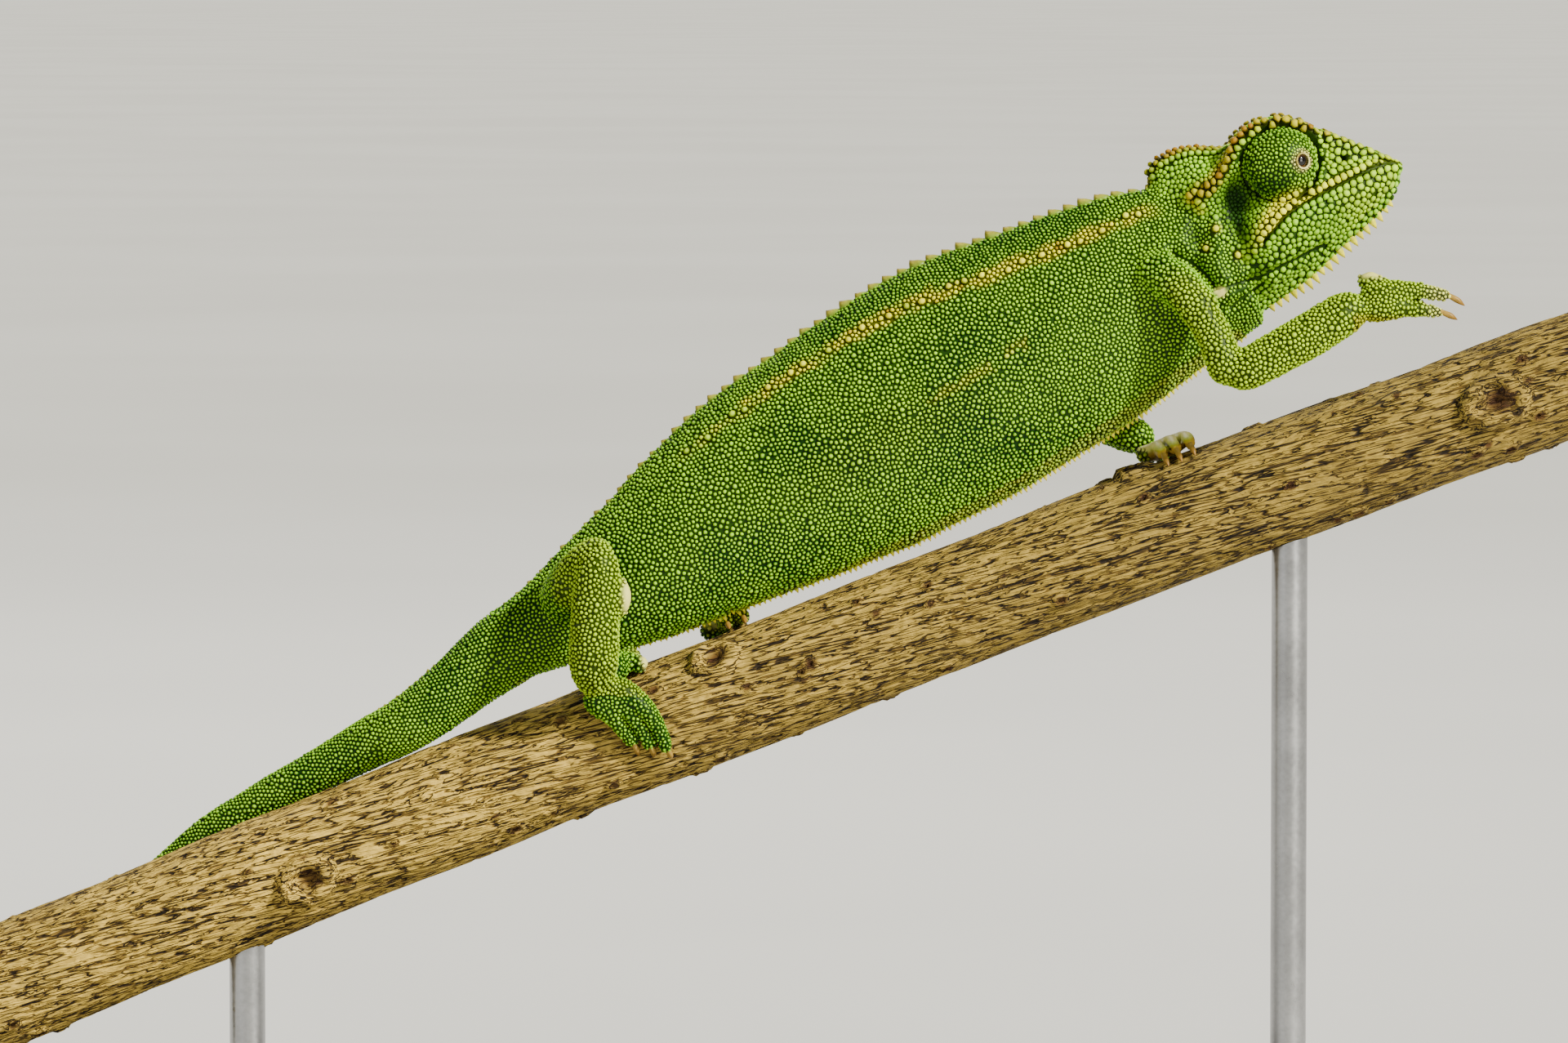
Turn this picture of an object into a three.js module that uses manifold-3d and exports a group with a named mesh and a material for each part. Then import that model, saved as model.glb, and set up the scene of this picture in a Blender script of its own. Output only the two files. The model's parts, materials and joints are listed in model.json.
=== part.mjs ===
// A life-size display model of a green chameleon walking up a slanting branch,
// with one forefoot lifted, on a plain two-rod stand.
//
// Millimetres, +Z up. +X is the way the animal walks, -Y its right side, and the
// origin is the middle of the underside of the stand's base.
import * as THREE from "three";
import { mergeVertices } from "three/addons/utils/BufferGeometryUtils.js";
import Module from "manifold-3d";

const wasm = await Module();
wasm.setup();

// ---------------------------------------------------------------- driving dimensions

const GAP = 0.3; // left between two solids that meet

const PERCH_RADIUS = 7.35;
const PERCH_SLOPE = THREE.MathUtils.degToRad(21);
const PERCH_LOW_END = -124; // measured along the branch from its middle
const PERCH_HIGH_END = 108;
// How high the branch's middle is over a straight line, along it.
const PERCH_LIFT = profile([
  [-124, -2.31], [-100, -1.5], [-75, -0.84], [-50, -0.375], [-25, -0.09],
  [0, 0.02], [25, 0.18], [50, 0.38], [75, 0.1], [108, -0.4],
]);

const BASE = { length: 190, width: 84, height: 9, corner: 6, bevel: 1 };
const ROD_RADIUS = 2.2;
const ROD_PLACES = [-66, 62]; // x of the two rods
const BASE_TO_PERCH = 67; // from the top of the base up to the middle of the branch

const HEAD_TILT = THREE.MathUtils.degToRad(22);
const EYE_PLACE = { x: 60.5, z: 62.7 }; // middle of the eyes, seen from the side
const EYELID = { out: 4.2, long: 4.6, thick: 3.6, tall: 4.3 };
const GAZE = { forward: 2.6, up: -0.6 }; // where the eye looks out of its lid
const EYEBALL_RADIUS = 1.2;
const CASQUE_START = -6.2; // where the casque begins, behind the middle of the eye

const THROAT_SPINE = { length: 1.3, radius: 0.5, pitch: 1.12, first: 10.6, last: -7.6 };
const CLAW = { root: 0.5, tip: 0.12 };

const GREEN = 0x5f9a2b;
const SHADE_GREEN = 0x4b8a2a;
const FOOT_GREEN = 0x6b9440;

// ---------------------------------------------------------------- small tools

const point = (x, y, z) => new THREE.Vector3(x, y, z);
const degrees = THREE.MathUtils.degToRad;
const ACROSS = point(0, 1, 0);

/** A smooth function through [x, value] pairs, level beyond both ends. */
function profile(pairs) {
  const sorted = [...pairs].sort((a, b) => a[0] - b[0]);
  const slope = sorted.map((here, i) => {
    const before = sorted[Math.max(i - 1, 0)];
    const after = sorted[Math.min(i + 1, sorted.length - 1)];
    return (after[1] - before[1]) / (after[0] - before[0]);
  });
  return (x) => {
    const last = sorted.length - 1;
    if (x <= sorted[0][0]) return sorted[0][1];
    if (x >= sorted[last][0]) return sorted[last][1];
    const i = sorted.findIndex((pair) => pair[0] > x) - 1;
    const [x0, y0] = sorted[i];
    const [x1, y1] = sorted[i + 1];
    const width = x1 - x0;
    const t = (x - x0) / width;
    const rise = t * t * (3 - 2 * t);
    const bendIn = slope[i] * width * t * (1 - t) * (1 - t);
    const bendOut = -slope[i + 1] * width * t * t * (1 - t);
    return y0 + (y1 - y0) * rise + bendIn + bendOut;
  };
}

/** A closed three.js geometry as a solid that can be joined and cut. */
function solidOf(geometry) {
  const bare = geometry.clone();
  bare.deleteAttribute("normal");
  bare.deleteAttribute("uv");
  const merged = mergeVertices(bare, 1e-4);
  const make = (triVerts) =>
    new wasm.Manifold(
      new wasm.Mesh({ numProp: 3, vertProperties: merged.attributes.position.array, triVerts }),
    );
  const faces = new Uint32Array(merged.index.array);
  const made = make(faces);
  return made.volume() > 0 ? made : make(faces.reverse());
}

/** A solid back as a three.js geometry with flat faces. */
function geometryOf(solid) {
  const mesh = solid.getMesh();
  const places = new Float32Array(mesh.numVert * 3);
  for (let i = 0; i < mesh.numVert; i++)
    places.set(mesh.vertProperties.subarray(i * mesh.numProp, i * mesh.numProp + 3), i * 3);
  const geometry = new THREE.BufferGeometry();
  geometry.setAttribute("position", new THREE.BufferAttribute(places, 3));
  geometry.setIndex(new THREE.BufferAttribute(mesh.triVerts, 1));
  geometry.computeVertexNormals();
  return geometry;
}

/**
 * A sphere's mesh drawn out into a tube: its poles become the middles of the two
 * ends, and each ring of latitude becomes ring(t, angle), with t from 0 to 1.
 */
function tube(rings, around, middle, ring) {
  const geometry = new THREE.SphereGeometry(1, around, rings + 1);
  const { position, uv } = geometry.attributes;
  for (let i = 0; i < position.count; i++) {
    const row = Math.round((1 - uv.getY(i)) * (rings + 1));
    const t = Math.min(Math.max((row - 1) / (rings - 1), 0), 1);
    const onAxis = row === 0 || row === rings + 1;
    const turn = Math.round(uv.getX(i) * around) / around;
    const place = onAxis ? middle(t) : ring(t, 2 * Math.PI * turn);
    position.setXYZ(i, place.x, place.y, place.z);
  }
  return solidOf(geometry);
}

/**
 * A limb or length of body along a path. `halves` gives [half width, half depth] at
 * each of the path's points, `up` the direction that depth is measured in, `round`
 * the share of each end that is rounded off, and `outline` the cross-section.
 */
function sweep(points, halves, options = {}) {
  const { from = 0, to = 1, rings = 6, around = 10, grow = 0, round = 0.18 } = options;
  const { up = () => point(0, 0, 1), outline = (a) => [Math.sin(a), Math.cos(a)] } = options;
  const path = new THREE.CatmullRomCurve3(points);
  const sizes = new THREE.CatmullRomCurve3(halves.map(([w, d]) => point(w, d, 0)));
  const reach = path.getPoint(from).distanceTo(path.getPoint(to)) + 1e-6;
  const parameter = (t) => THREE.MathUtils.lerp(from, to, t);
  const past = (t) => (t < 0.5 ? -1 : 1) * grow * Math.pow(Math.abs(2 * t - 1), 3);
  const middle = (t) => {
    const p = parameter(t);
    return path.getPoint(p).addScaledVector(path.getTangent(p), past(t));
  };
  const ring = (t, angle) => {
    const p = parameter(t);
    const along = path.getTangent(p);
    const side = up(p).clone().cross(along).normalize();
    const lift = along.clone().cross(side);
    const size = sizes.getPoint(p);
    const toEnd = round > 0 ? Math.min(Math.min(t, 1 - t) / round, 1) : 1;
    const cap = round > 0 ? Math.sqrt(1 - (1 - toEnd) * (1 - toEnd) * 0.9) : 1;
    const [s, l] = outline(angle);
    const wide = size.x * cap + grow;
    const deep = size.y * cap + grow;
    return middle(t)
      .addScaledVector(side, s * wide)
      .addScaledVector(lift, l * deep);
  };
  if (reach < GAP) throw new Error("a swept piece has no length");
  return tube(rings, around, middle, ring);
}

const join = (solids) => solids.reduce((all, one) => all.add(one));
const cut = (solid, tools) => tools.reduce((left, tool) => left.subtract(tool), solid);

/** The largest body of a cut, without the slivers that a cut can leave. */
function mainBody(solid) {
  const bodies = solid.decompose();
  return bodies.reduce((best, body) => (body.volume() > best.volume() ? body : best));
}

// ---------------------------------------------------------------- the branch

const ALONG_PERCH = point(Math.cos(PERCH_SLOPE), 0, Math.sin(PERCH_SLOPE));
const UP_FROM_PERCH = point(-Math.sin(PERCH_SLOPE), 0, Math.cos(PERCH_SLOPE));

function perchMiddle(s) {
  return ALONG_PERCH.clone().multiplyScalar(s).addScaledVector(UP_FROM_PERCH, PERCH_LIFT(s));
}

/** A direction out of the bark: 0 degrees is up, and 90 the animal's left, away from -Y. */
function outward(angle) {
  const a = degrees(angle);
  return UP_FROM_PERCH.clone()
    .multiplyScalar(Math.cos(a))
    .addScaledVector(ACROSS, Math.sin(a));
}

/** A point `height` over the bark, `s` along the branch and `angle` degrees round it. */
function onPerch(s, angle, height) {
  return perchMiddle(s).addScaledVector(outward(angle), PERCH_RADIUS + height);
}

const KNOTS = [
  { s: -63.3, angle: -102, size: [4.2, 3.4], proud: 1.0 },
  { s: -7.2, angle: -46, size: [3.6, 3.2], proud: 0.7 },
  { s: 93, angle: -84, size: [4.8, 3.6], proud: 1.1 },
  { s: 48.9, angle: -6, size: [2.8, 2.4], proud: 0.7 },
];

function branch(grow = 0) {
  const swell = profile([[-124, 0.1], [-90, 0.25], [-45, 0.2], [-8, 0.1], [45, -0.1], [90, 0.15]]);
  const stick = tube(
    16,
    14,
    (t) => perchMiddle(THREE.MathUtils.lerp(PERCH_LOW_END, PERCH_HIGH_END, t)),
    (t, angle) => {
      const s = THREE.MathUtils.lerp(PERCH_LOW_END, PERCH_HIGH_END, t);
      return onPerch(s, (angle * 180) / Math.PI, Math.min(swell(s), 0) + grow);
    },
  );
  const knots = KNOTS.map(({ s, angle, size, proud }) => {
    const geometry = new THREE.SphereGeometry(1, 8, 6);
    geometry.scale(size[0] + grow, size[1] + grow, 2.2 + grow);
    const out = outward(angle);
    const sideways = out.clone().cross(ALONG_PERCH);
    const turn = new THREE.Matrix4().makeBasis(ALONG_PERCH, sideways, out);
    geometry.applyMatrix4(turn.setPosition(onPerch(s, angle, proud - 2.2)));
    return solidOf(geometry);
  });
  return join([stick, ...knots]);
}

// ---------------------------------------------------------------- trunk, neck and tail

// Hips to nape: x and z of the middle line, half width, half depth.
const TRUNK_STATIONS = [
  [-33.0, 3.9, 3.9, 4.7],
  [-27.6, 6.9, 4.7, 6.1],
  [-17.2, 13.0, 6.3, 9.3],
  [-3.8, 21.7, 7.8, 12.8],
  [8.1, 28.3, 8.4, 14.6],
  [19.8, 35.0, 8.3, 15.3],
  [34.4, 42.4, 7.1, 14.1],
  [45.6, 48.0, 5.7, 12.0],
  [55.1, 51.9, 5.0, 9.6],
];
// The tail's root, then its rest on the branch: s, degrees round it, and radius.
const TAIL_ROOT = [
  [-33.0, 3.9, 3.9, 4.7],
  [-39.8, -1.3, 3.5, 3.95],
];
const TAIL = {
  turn: profile([
    [-46, 2], [-55, 17], [-65, 28], [-74, 40], [-82, 58],
    [-90, 88], [-97, 108], [-104, 124], [-111, 172], [-118, 240],
  ]),
  radius: profile([
    [-46, 3.4], [-55, 2.85], [-65, 2.4], [-74, 2.0], [-82, 1.7], [-92, 1.4], [-104, 1.05], [-118, 0.5],
  ]),
  places: 19,
};
const tailPlaces = Array.from({ length: TAIL.places }, (_, i) => -46 - 4 * i);
const TAIL_POINTS = [
  ...TAIL_ROOT.map(([x, z]) => point(x, 0, z)),
  ...tailPlaces.map((s) => onPerch(s, TAIL.turn(s), TAIL.radius(s) + 1.5 * GAP)),
];
const TAIL_HALVES = [
  ...TAIL_ROOT.map(([, , wide, deep]) => [wide, deep]),
  ...tailPlaces.map((s) => [TAIL.radius(s), TAIL.radius(s)]),
];
const TAIL_CUTS = [0, 0.2, 0.4, 0.6, 0.8, 1];

/** A cross-section with a keel along the back and a narrower belly line. */
function keeled(angle) {
  const s = Math.sin(angle);
  const c = Math.cos(angle);
  return [s * Math.abs(s) ** 0.3 * (1 - 0.1 * c), c];
}

const TRUNK_CUTS = { hips: 0.009, waist: 0.5, shoulders: 0.86, head: 1 };

function trunk(from, to, grow = 0, rings = 8) {
  const middles = TRUNK_STATIONS.map(([x, z]) => point(x, 0, z));
  const halves = TRUNK_STATIONS.map(([, , wide, deep]) => [wide, deep]);
  return sweep(middles, halves, { from, to, grow, rings, around: 16, round: 0, outline: keeled });
}

function tailLength(index, grow = 0) {
  const count = TAIL_POINTS.length - 1;
  const slack = GAP / 2 / (4.5 * count); // half a gap, as a share of the path
  const up = (p) => {
    const here = new THREE.CatmullRomCurve3(TAIL_POINTS).getPoint(p);
    const s = here.dot(ALONG_PERCH);
    return here.sub(perchMiddle(s));
  };
  return sweep(TAIL_POINTS, TAIL_HALVES, {
    from: TAIL_CUTS[index] + slack,
    to: TAIL_CUTS[index + 1] - slack,
    grow,
    rings: index === 0 ? 7 : 9,
    around: index < 2 ? 12 : 8,
    round: index === TAIL_CUTS.length - 2 ? 0.06 : 0,
    up,
  });
}

// ---------------------------------------------------------------- the head

/** A place on the head: forward of the eye, out from the middle, and up, in the head's own tilt. */
function onHead(forward, out, up) {
  return point(
    EYE_PLACE.x + forward * Math.cos(HEAD_TILT) - up * Math.sin(HEAD_TILT),
    out,
    EYE_PLACE.z + forward * Math.sin(HEAD_TILT) + up * Math.cos(HEAD_TILT),
  );
}

// Each is a height or a half width against the distance forward of the eye.
const SKULL = {
  crown: profile([
    [-15.8, 4.6], [-14.2, 6.1], [-11, 6.2], [-8.2, 5.3], [-5.5, 4.0], [0, 4.4], [4, 3.1],
    [8.7, -1.0], [11.7, -3.9], [13.7, -5.3],
  ]),
  crestUp: profile([
    [-15.8, 3.6], [-13, 0.4], [-10, 0.5], [-6.6, 2.1], [-4.4, 4.6], [-1.6, 5.7], [1.2, 5.4],
    [4, 3.7], [7.2, 0.9], [10.3, -2.1], [13.7, -5.4],
  ]),
  crestOut: profile([
    [-15.8, 0.5], [-13, 2.9], [-10, 4.8], [-6.6, 4.7], [-1.6, 4.4], [4, 3.5], [7.2, 2.6],
    [10.3, 1.9], [13.7, 0.8],
  ]),
  templeUp: profile([
    [-15.8, 2.6], [-12, -2], [-8, -3.4], [-4, -2], [0, -1], [5, -1.8], [10, -4.0],
    [13.7, -5.6],
  ]),
  templeOut: profile([
    [-15.8, 0.5], [-12, 3.1], [-8, 4.5], [-4, 4.0], [0, 3.0], [5, 3.4], [10, 2.3],
    [13.7, 0.9],
  ]),
  lipOut: profile([
    [-15.8, 0.5], [-12, 3.2], [-8, 5.6], [-4, 6.6], [-1, 6.2], [3, 5.3], [7, 4.3],
    [10, 3.3], [12.3, 2.1], [13.7, 1.0],
  ]),
  mouth: profile([
    [-15.8, 2.2], [-12, -4], [-9, -8.4], [-6, -9.1], [-3.4, -7.6], [-1.6, -6.7],
    [0.2, -6.2], [4.6, -5.9], [9, -5.5], [11.4, -5.7], [13.7, -6.6],
  ]),
  jawOut: profile([
    [-10, 3.6], [-7, 5.0], [-3, 5.9], [3, 5.0], [7, 4.1], [10, 3.1], [12, 1.9], [12.9, 0.7],
  ]),
  keel: profile([
    [-10, -16.8], [-7.2, -16.0], [-2, -14.8], [1.9, -13.3], [5.8, -11.7], [9.2, -10.5],
    [11.3, -9.4], [12.4, -8.4], [12.9, -7.7],
  ]),
};
const SKULL_ENDS = [-15.8, 13.7];
const JAW_ENDS = [-9.6, 12.9];

/** Lofts mirrored half sections, given as [out, up] pairs from the top down, along the head. */
function headLoft(ends, halfSection, rings, around, grow) {
  const closed = (forward) => {
    const half = halfSection(forward);
    const other = half.slice(1, -1).reverse();
    const all = [...half, ...other.map(([out, up]) => [-out, up])];
    return new THREE.CatmullRomCurve3(all.map(([out, up]) => point(out, up, 0)), true);
  };
  const place = (t) => THREE.MathUtils.lerp(ends[0], ends[1], t);
  const centre = (forward) => {
    const half = halfSection(forward);
    return (half[0][1] + half[half.length - 1][1]) / 2;
  };
  const past = (t) => (t === 0 ? -grow : t === 1 ? grow : 0);
  return tube(
    rings,
    around,
    (t) => onHead(place(t) + past(t), 0, centre(place(t))),
    (t, angle) => {
      const forward = place(t);
      const at = closed(forward).getPoint(angle / (2 * Math.PI));
      const away = point(at.x, at.y - centre(forward), 0).setLength(grow);
      return onHead(forward + past(t), at.x + away.x, at.y + away.y);
    },
  );
}

function skull(grow = 0) {
  const half = (f) => {
    const mouth = SKULL.mouth(f);
    const lip = SKULL.lipOut(f);
    return [
      [0, SKULL.crown(f)],
      [SKULL.crestOut(f), SKULL.crestUp(f)],
      [SKULL.templeOut(f), SKULL.templeUp(f)],
      [lip, mouth + 1.3],
      [lip * 0.86, mouth + 0.15],
      [0, mouth + 0.15],
    ];
  };
  return headLoft(SKULL_ENDS, half, 17, 14, grow);
}

function jaw(grow = 0) {
  const half = (f) => {
    const top = SKULL.mouth(f) - GAP * 1.9;
    const keel = SKULL.keel(f);
    const wide = SKULL.jawOut(f);
    return [
      [0, top],
      [wide * 0.9, top],
      [wide, THREE.MathUtils.lerp(top, keel, 0.22)],
      [wide * 0.72, THREE.MathUtils.lerp(top, keel, 0.5)],
      [wide * 0.3, THREE.MathUtils.lerp(top, keel, 0.8)],
      [0, keel],
    ];
  };
  return headLoft(JAW_ENDS, half, 10, 12, grow);
}

/** The row of cones that hangs from the keel of the throat. */
function throatSpines() {
  const spines = [];
  for (let f = THROAT_SPINE.first; f > THROAT_SPINE.last; f -= THROAT_SPINE.pitch) {
    const rise = SKULL.keel(f + 0.5) - SKULL.keel(f - 0.5);
    const lean = Math.atan(rise);
    const geometry = new THREE.ConeGeometry(THROAT_SPINE.radius, THROAT_SPINE.length + 0.7, 5);
    geometry.translate(0, THROAT_SPINE.length / 2 - 0.35, 0);
    geometry.rotateX(-Math.PI / 2);
    geometry.rotateY(-HEAD_TILT - lean);
    const root = onHead(f, 0, SKULL.keel(f));
    geometry.translate(root.x, root.y, root.z);
    spines.push(solidOf(geometry));
  }
  return spines;
}

/** The scaly lid that covers the whole eye but its middle; side is 1 for left, -1 for right. */
function eyelid(side, grow = 0) {
  const geometry = new THREE.SphereGeometry(1, 12, 8);
  geometry.scale(EYELID.long + grow, EYELID.thick + grow, EYELID.tall + grow);
  geometry.rotateY(-HEAD_TILT);
  const at = onHead(0, side * EYELID.out, 0);
  geometry.translate(at.x, at.y, at.z);
  return solidOf(geometry);
}

function eyeball(side, grow = 0) {
  const { long, thick, tall, out } = EYELID;
  const share = 1 - (GAZE.forward / long) ** 2 - (GAZE.up / tall) ** 2;
  const proud = thick * Math.sqrt(share);
  const looks = point(GAZE.forward / long ** 2, proud / thick ** 2, GAZE.up / tall ** 2);
  looks.setLength(EYEBALL_RADIUS - 0.2);
  const geometry = new THREE.SphereGeometry(EYEBALL_RADIUS + grow, 9, 6);
  const at = onHead(
    GAZE.forward - looks.x,
    side * (out + proud - looks.y),
    GAZE.up - looks.z,
  );
  geometry.translate(at.x, at.y, at.z);
  return solidOf(geometry);
}

// ---------------------------------------------------------------- legs

// Each leg: its upper and lower lengths as [x, y, z, radius], and the toes of its two
// bundles, each toe as places of its middle with its radius, ending in its claw's tip.
const gripping = (rows) => rows.map(([s, angle, height, radius]) => [onPerch(s, angle, height), radius]);
const free = (rows) => rows.map(([x, y, z, radius]) => [point(x, y, z), radius]);

const LEGS = {
  right_fore: {
    upper: free([
      [43.5, -3.5, 51.0, 3.0], [49.0, -7.4, 46.8, 2.6],
      [52.3, -9.5, 41.6, 2.3], [54.2, -10.2, 36.2, 2.6],
    ]),
    lower: free([[53.8, -10.2, 36.5, 2.6], [61.5, -10.2, 40.8, 2.9], [70.4, -9.4, 46.0, 2.9]]),
    outer: [
      free([
        [70.2, -9.4, 46.5, 2.4], [75.8, -9.9, 47.4, 1.25],
        [80.2, -10.0, 46.9, 0.78], [82.6, -10.0, 45.6, 0],
      ]),
      free([
        [70.2, -9.5, 45.2, 2.2], [75.4, -10.2, 45.2, 1.1],
        [79.3, -10.3, 44.9, 0.72], [81.7, -10.3, 43.9, 0],
      ]),
    ],
    inner: [
      free([
        [70.6, -8.0, 46.4, 1.9], [74.4, -5.4, 47.0, 1.15],
        [77.6, -3.4, 47.0, 0.85], [79.0, -1.6, 46.2, 0],
      ]),
      free([
        [70.6, -7.9, 45.4, 1.9], [74.6, -5.1, 45.6, 1.15],
        [77.4, -2.7, 45.6, 0.85], [78.5, -1.1, 45.0, 0],
      ]),
      free([
        [70.6, -7.9, 44.9, 1.8], [74.0, -5.2, 44.9, 1.1],
        [76.6, -3.0, 44.9, 0.8], [77.6, -1.6, 44.5, 0],
      ]),
    ],
    pad: { at: point(71.2, -8.9, 48.6), size: [1.7, 1.3, 1.2] },
  },
  left_fore: {
    upper: free([
      [43.5, 3.5, 47.5, 2.9], [41.0, 8.8, 43.2, 2.7],
      [37.0, 11.4, 38.4, 2.5], [33.4, 12.2, 34.8, 2.5],
    ]),
    lower: free([[33.6, 12.2, 34.8, 2.6], [38.8, 10.6, 30.8, 2.6], [45.4, 8.2, 28.0, 2.3]]),
    outer: [
      gripping([
        [52.4, 46, 2.8, 1.9], [54.6, 72, 1.5, 1.15],
        [55.0, 98, 1.05, 0.85], [55.0, 116, 0.45, 0],
      ]),
      gripping([
        [52.6, 46, 2.7, 1.9], [56.4, 68, 1.5, 1.15],
        [57.0, 92, 1.05, 0.85], [57.2, 110, 0.45, 0],
      ]),
    ],
    inner: [
      gripping([
        [52.2, 34, 2.5, 1.7], [52.8, 7, 1.8, 1.05],
        [53.0, -12, 1.25, 0.88], [53.1, -29, 0.45, 0],
      ]),
      gripping([
        [52.8, 34, 2.5, 1.7], [54.5, 7, 1.85, 1.05],
        [54.7, -12, 1.25, 0.88], [54.8, -30, 0.45, 0],
      ]),
      gripping([
        [53.4, 34, 2.4, 1.7], [56.2, 7, 1.7, 1.1],
        [56.5, -12, 1.25, 0.88], [56.6, -28, 0.45, 0],
      ]),
    ],
    pad: { at: onPerch(51.3, 18, 1.9), size: [1.5, 1.3, 1.3] },
  },
  right_hind: {
    upper: free([
      [-27.0, -1.5, 8.6, 3.7], [-25.4, -6.8, 11.6, 3.5],
      [-23.4, -10.2, 14.6, 2.7], [-21.9, -12.3, 16.2, 2.0],
    ]),
    lower: free([
      [-22.0, -12.4, 16.2, 2.0], [-22.5, -12.2, 13.0, 2.8],
      [-22.9, -11.4, 7.4, 3.2], [-23.3, -9.2, -1.6, 3.3],
    ]),
    outer: [
      gripping([
        [-20.6, -47, 3.4, 2.4], [-17.0, -76, 1.7, 1.35],
        [-16.4, -108, 1.1, 0.9], [-16.3, -123, 0.45, 0],
      ]),
      gripping([
        [-21.4, -47, 3.4, 2.5], [-18.9, -74, 1.6, 1.3],
        [-18.2, -100, 1.1, 0.85], [-18.1, -115, 0.45, 0],
      ]),
      gripping([
        [-22.4, -47, 3.3, 2.6], [-20.9, -71, 1.6, 1.25],
        [-20.0, -93, 1.05, 0.8], [-19.9, -108, 0.45, 0],
      ]),
    ],
    inner: [
      gripping([
        [-20.2, -40, 3.2, 1.9], [-17.2, -12, 1.7, 1.25],
        [-16.4, 16, 1.15, 0.85], [-16.2, 36, 0.45, 0],
      ]),
      gripping([
        [-20.6, -40, 3.2, 1.9], [-18.8, -10, 1.6, 1.2],
        [-18.1, 18, 1.15, 0.85], [-17.9, 38, 0.45, 0],
      ]),
    ],
    pad: { at: onPerch(-16.0, -24, 1.3), size: [1.3, 1.4, 1.1] },
  },
  left_hind: {
    upper: free([
      [-25.5, 1.5, 8.8, 3.6], [-21.6, 7.4, 11.6, 3.3],
      [-17.0, 11.4, 13.6, 2.7], [-12.9, 13.6, 14.5, 2.3],
    ]),
    lower: free([[-12.5, 13.6, 14.6, 2.2], [-10.4, 11.6, 10.8, 2.8], [-7.2, 8.8, 6.0, 2.6]]),
    outer: [
      gripping([
        [-4.4, 50, 3.1, 2.1], [-2.4, 76, 1.6, 1.3],
        [-1.8, 106, 1.1, 0.9], [-1.6, 126, 0.45, 0],
      ]),
      gripping([
        [-4.8, 50, 3.1, 2.1], [-4.2, 76, 1.6, 1.3],
        [-3.7, 104, 1.1, 0.85], [-3.6, 124, 0.45, 0],
      ]),
      gripping([
        [-5.2, 50, 3.0, 2.1], [-6.0, 74, 1.6, 1.2],
        [-5.6, 98, 1.05, 0.8], [-5.5, 117, 0.45, 0],
      ]),
    ],
    inner: [
      gripping([
        [-4.0, 38, 2.6, 1.8], [-2.6, 20, 1.5, 1.15],
        [-2.2, 3, 1.0, 0.85], [-2.1, -11, 0.45, 0],
      ]),
      gripping([
        [-4.6, 38, 2.6, 1.8], [-4.6, 20, 1.5, 1.15],
        [-4.3, 4, 1.0, 0.85], [-4.2, -10, 0.45, 0],
      ]),
    ],
    pad: { at: onPerch(-6.6, 26, 1.5), size: [1.3, 1.3, 1.2] },
  },
};

// A smooth pale swelling on the front of the shank.
const SHIN_PAD = { at: point(-19.7, -11.6, 10.3), size: [1.3, 1.5, 2.3] };

function ellipsoid({ at, size }, grow = 0) {
  const geometry = new THREE.SphereGeometry(1, 6, 5);
  geometry.scale(size[0] + grow, size[1] + grow, size[2] + grow);
  geometry.translate(at.x, at.y, at.z);
  return solidOf(geometry);
}

function legLength(rows, grow = 0) {
  const places = rows.map(([place]) => place);
  const halves = rows.map(([, radius]) => [radius * 0.94, radius]);
  return sweep(places, halves, { grow, rings: 7, around: 9, round: 0.16, up: () => point(0.3, 1, 0.2) });
}

const offSide = () => point(0.2, 0.3, 1);

/** A toe without its claw. */
function toe(rows, grow = 0) {
  const flesh = rows.slice(0, -1);
  const places = flesh.map(([place]) => place);
  const halves = flesh.map(([, radius]) => [radius, radius]);
  return sweep(places, halves, { grow, rings: 5, around: 6, round: 0.16, up: offSide });
}

/** A claw curves from just past its toe's end to its own tip. */
function claw(rows) {
  const [root] = rows[rows.length - 2];
  const [before] = rows[rows.length - 3];
  const [tip] = rows[rows.length - 1];
  const onward = root.clone().sub(before).normalize();
  const start = root.clone().addScaledVector(onward, GAP);
  const bend = start.clone().lerp(tip, 0.5).addScaledVector(onward, 0.25);
  const halves = [[CLAW.root, CLAW.root], [0.4, 0.4], [CLAW.tip, CLAW.tip]];
  return sweep([start, bend, tip], halves, { rings: 3, around: 5, round: 0.1, up: offSide });
}

// ---------------------------------------------------------------- the stand

function base() {
  const { length, width, height, corner, bevel } = BASE;
  const x = length / 2 - bevel;
  const y = width / 2 - bevel;
  const shape = new THREE.Shape();
  shape.moveTo(-x + corner, -y);
  shape.lineTo(x - corner, -y);
  shape.absarc(x - corner, -y + corner, corner, -Math.PI / 2, 0);
  shape.absarc(x - corner, y - corner, corner, 0, Math.PI / 2);
  shape.absarc(-x + corner, y - corner, corner, Math.PI / 2, Math.PI);
  shape.absarc(-x + corner, -y + corner, corner, Math.PI, 1.5 * Math.PI);
  const geometry = new THREE.ExtrudeGeometry(shape, {
    depth: height - 2 * bevel,
    bevelThickness: bevel,
    bevelSize: bevel,
    bevelSegments: 1,
    curveSegments: 3,
  });
  geometry.translate(0, 0, bevel);
  return solidOf(geometry);
}

function rod(x, perch) {
  const height = BASE_TO_PERCH + x * Math.tan(PERCH_SLOPE);
  const geometry = new THREE.CylinderGeometry(ROD_RADIUS, ROD_RADIUS, height, 16);
  geometry.rotateX(Math.PI / 2);
  geometry.translate(x, 0, height / 2 - BASE_TO_PERCH + GAP);
  return mainBody(cut(solidOf(geometry), [perch]));
}

// ---------------------------------------------------------------- the model

const model = new THREE.Group();
const specimen = new THREE.Group();
specimen.position.z = BASE.height + BASE_TO_PERCH;
model.add(specimen);

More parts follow.
